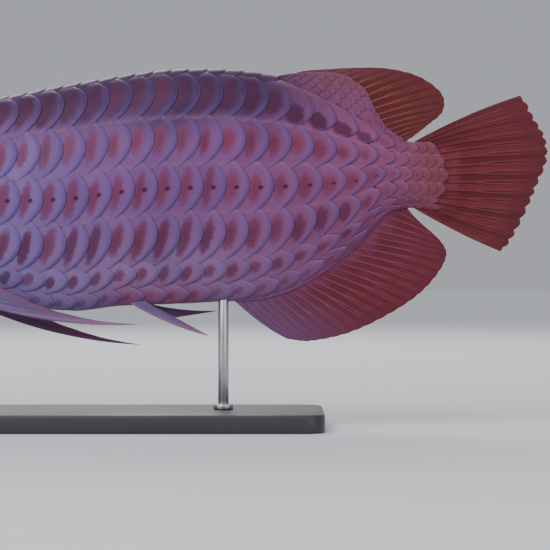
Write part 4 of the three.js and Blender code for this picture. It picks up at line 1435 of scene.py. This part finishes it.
@dataclass
class Stand:
    """The display stand: a flat board with softened edges and two rods up to the belly."""

    corner: float = 0.014
    bevel: float = 0.0015
    rod_radius: float = 0.0035
    rod_bevel: float = 0.0005
    collar_share: float = 1.9
    collar_height: float = 0.0035

    def board(self, material: Material) -> Piece:
        """Build the board from a cube, rounding its corners and then its edges.

        Args:
            material: its finish.

        Returns:
            The new piece.
        """
        low, high = (Vector(p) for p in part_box("stand_base"))
        mesh = Mesh()
        size, centre = high - low, (high + low) / 2
        bmesh.ops.create_cube(mesh.bm, size=1.0, matrix=Matrix.Translation(centre) @ Matrix.Diagonal((*size, 1.0)))
        upright = [e for e in mesh.bm.edges if abs(e.verts[0].co.z - e.verts[1].co.z) > size.z / 2]
        mesh.round_edges(upright, self.corner, 10)
        rims = [e for e in mesh.bm.edges if abs(e.calc_face_angle(0.0)) > math.radians(60)]
        mesh.round_edges(rims, self.bevel, 3)
        board = mesh.finish("stand_board", material)
        board.data.set_sharp_from_angle(angle=math.radians(35))
        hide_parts("stand_base")
        return board

    def rod(self, name: str, x: float, material: Material) -> Piece:
        """Build one rod, with a low collar where it enters the board.

        Args:
            name: the node of the solids that it stands for.
            x: its place along the fish, in millimetres.
            material: its finish.

        Returns:
            The new piece.
        """
        mesh = Mesh()
        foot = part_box(name)[0][2]
        head = (float(smooth_line(BODY.belly, np.array([x]))[0]) + 4 + AXIS_HEIGHT) / 1000
        collar = (self.rod_radius * self.collar_share, foot, foot + self.collar_height)
        for radius, low, high in ((self.rod_radius, foot, head), collar):
            place = Matrix.Translation((SNOUT_X + x / 1000, 0, (low + high) / 2))
            made = bmesh.ops.create_cone(
                mesh.bm, cap_ends=True, segments=48, radius1=radius, radius2=radius, depth=high - low, matrix=place
            )
            rims = {e for v in made["verts"] for e in v.link_edges if abs(e.verts[0].co.z - e.verts[1].co.z) < 1e-6}
            mesh.round_edges(list(rims), self.rod_bevel, 2)
        rod = mesh.finish(name + "_steel", material)
        rod.data.set_sharp_from_angle(angle=math.radians(35))
        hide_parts(name)
        return rod


@dataclass
class Studio:
    """A wide pale floor, soft lights, and the camera of the photograph."""

    photo_width: float = 0.3656
    view_centre: tuple[float, float] = (372.3, -66.5)
    distance: float = 1.5
    sensor: float = 36.0
    floor_radius: float = 14.0

    def floor(self) -> None:
        """Build a floor that is wide enough to meet the pale surround far behind the fish."""
        bm = bmesh.new()
        bmesh.ops.create_circle(bm, cap_ends=True, segments=96, radius=self.floor_radius)
        mesh = bpy.data.meshes.new("studio_floor")
        bm.to_mesh(mesh)
        bm.free()
        made = bpy.data.objects.new("studio_floor", mesh)
        bpy.context.scene.collection.objects.link(made)
        f = Finish("pale_paper", roughness=0.9)
        mesh.materials.append(f.dress(base_color=f.add(Node.MIX, f.grain(40, 2), "#cfd1d4", "#d3d5d8")))

    def lights(self) -> None:
        """Set a large soft key over the left shoulder, a wide fill, a rim light and a pale surround."""
        centre = Vector((SNOUT_X + 0.3, 0.0, 0.16))
        for name, place, size, power in (
            ("key", (-0.9, -1.6, 1.5), 1.7, 26.0),
            ("fill", (1.5, -1.6, 0.6), 1.8, 14.0),
            ("rim", (0.5, 1.5, 1.6), 1.6, 10.0),
            ("back", (-0.5, 2.2, 1.6), 1.2, 20.0),
            ("low", (-1.0, -0.9, 0.1), 0.9, 3.4),
        ):
            lamp = bpy.data.lights.new(name, "AREA")
            lamp.size, lamp.energy = size, power
            made = bpy.data.objects.new(name, lamp)
            made.location = place
            made.rotation_euler = (centre - made.location).to_track_quat("-Z", "Y").to_euler()
            bpy.context.scene.collection.objects.link(made)
        overcast = bpy.data.lights.new("overcast", "SUN")
        overcast.energy, overcast.angle = 1.1, 1.4
        made = bpy.data.objects.new("overcast", overcast)
        made.rotation_euler = Vector((0.45, 0.75, -1.1)).to_track_quat("-Z", "Y").to_euler()
        bpy.context.scene.collection.objects.link(made)
        world = bpy.data.worlds.new("studio_surround")
        world.use_nodes = True
        world.node_tree.nodes["Background"].inputs["Color"].default_value = srgb("#dfe3ea")
        world.node_tree.nodes["Background"].inputs["Strength"].default_value = 0.55
        bpy.context.scene.world = world

    def camera(self) -> None:
        """Set the camera square to the fish's left side, framed as in the photograph."""
        data = bpy.data.cameras.new("photo_camera")
        data.sensor_width = self.sensor
        data.lens = self.sensor * self.distance / self.photo_width
        made = bpy.data.objects.new("photo_camera", data)
        x, z = self.view_centre
        made.location = (SNOUT_X + x / 1000, -self.distance, (AXIS_HEIGHT + z) / 1000)
        made.rotation_euler = (math.pi / 2, 0, 0)
        bpy.context.scene.collection.objects.link(made)
        bpy.context.scene.camera = made


def main() -> None:
    """Build the fish, its stand and the studio."""
    logging.basicConfig(level=logging.INFO, format="%(name)s %(message)s")
    head = Head()
    bare_skin = SkinFinish("wet_head_skin", 0.55).make()
    gill_skin = SkinFinish("pearly_gill_bone", 0.4).make()
    eye_glass = EyeFinish(head.eye_x, head.eye_z).make()
    Skin(head).build(bare_skin)
    for side in Side:
        head.gill_cover(side, gill_skin)
        head.eye(side, eye_glass)
        head.barbel(side, bare_skin)

    horn = ScaleFinish().make()
    coat = ScaleCoat()
    for piece in [coat.flank(side, horn) for side in Side] + [coat.ridge(keel, horn) for keel in (False, True)]:
        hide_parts("trunk", "tail_stalk")

    dorsal_red = FinFinish("dorsal_fin_skin", "#6a3430", "#540e12", "#6a3024", "#4a081a", 0.8, "#6a3850").make()
    anal_plum = FinFinish("anal_fin_skin", "#6c3054", "#58122c", "#6c2a40", "#500218", 0.55, "#5a4474").make()
    tail_red = FinFinish("tail_fin_skin", "#6e2634", "#40020a", "#661e26", "#460014", 0.95, "#581020", 16).make()
    paired_plum = FinFinish("paired_fin_skin", "#524672", "#4c4474", "#665078", "#703c5c", 0.2, "#84567e").make()
    median = MedianFins()
    median.dorsal().build(dorsal_red, "dorsal_fin", "median_fin")
    median.anal().build(anal_plum, "anal_fin", "median_fin")
    median.tail().build(tail_red, "caudal_fin", "median_fin")
    paired = PairedFins()
    paired.pectoral(Side.LEFT, 0).build(paired_plum, "pectoral_fin_left", "paired_fin")
    paired.pectoral(Side.RIGHT, 6).build(paired_plum, "pectoral_fin_right", "paired_fin")
    paired.pelvic(Side.LEFT, (330, -17, -106.8), (300, -7, -91)).build(paired_plum, "pelvic_fin_left", "paired_fin")
    paired.pelvic(Side.RIGHT, (335, 19, -90.5), (301, 9, -96)).build(paired_plum, "pelvic_fin_right", "paired_fin")
    rise = ((0, 3.6), (0.15, 9.6), (0.33, 17.2), (0.45, 22), (0.56, 25.4), (0.7, 24.6), (0.78, 14), (0.86, 8), (1, 5))
    median.sheath(
        "dorsal_sheath", lambda x: smooth_line(BODY.back, x) - 4, (372, 458), 1.0,
        lambda s: np.interp(s, *zip(*rise)), horn,
    )
    median.sheath(
        "anal_sheath", lambda x: smooth_line(BODY.belly, x) + 5, (338, 457), -1.0,
        lambda s: 5 + 1.6 * np.sin(np.pi * s), horn,
    )

    stand = Stand()
    finishes = StandFinishes()
    stand.board(finishes.board())
    steel = finishes.rod()
    stand.rod("stand_rod_front", FRONT_ROD_X, steel)
    stand.rod("stand_rod_rear", REAR_ROD_X, steel)

    studio = Studio()
    studio.floor()
    studio.lights()
    studio.camera()


if __name__ == "__main__":
    main()
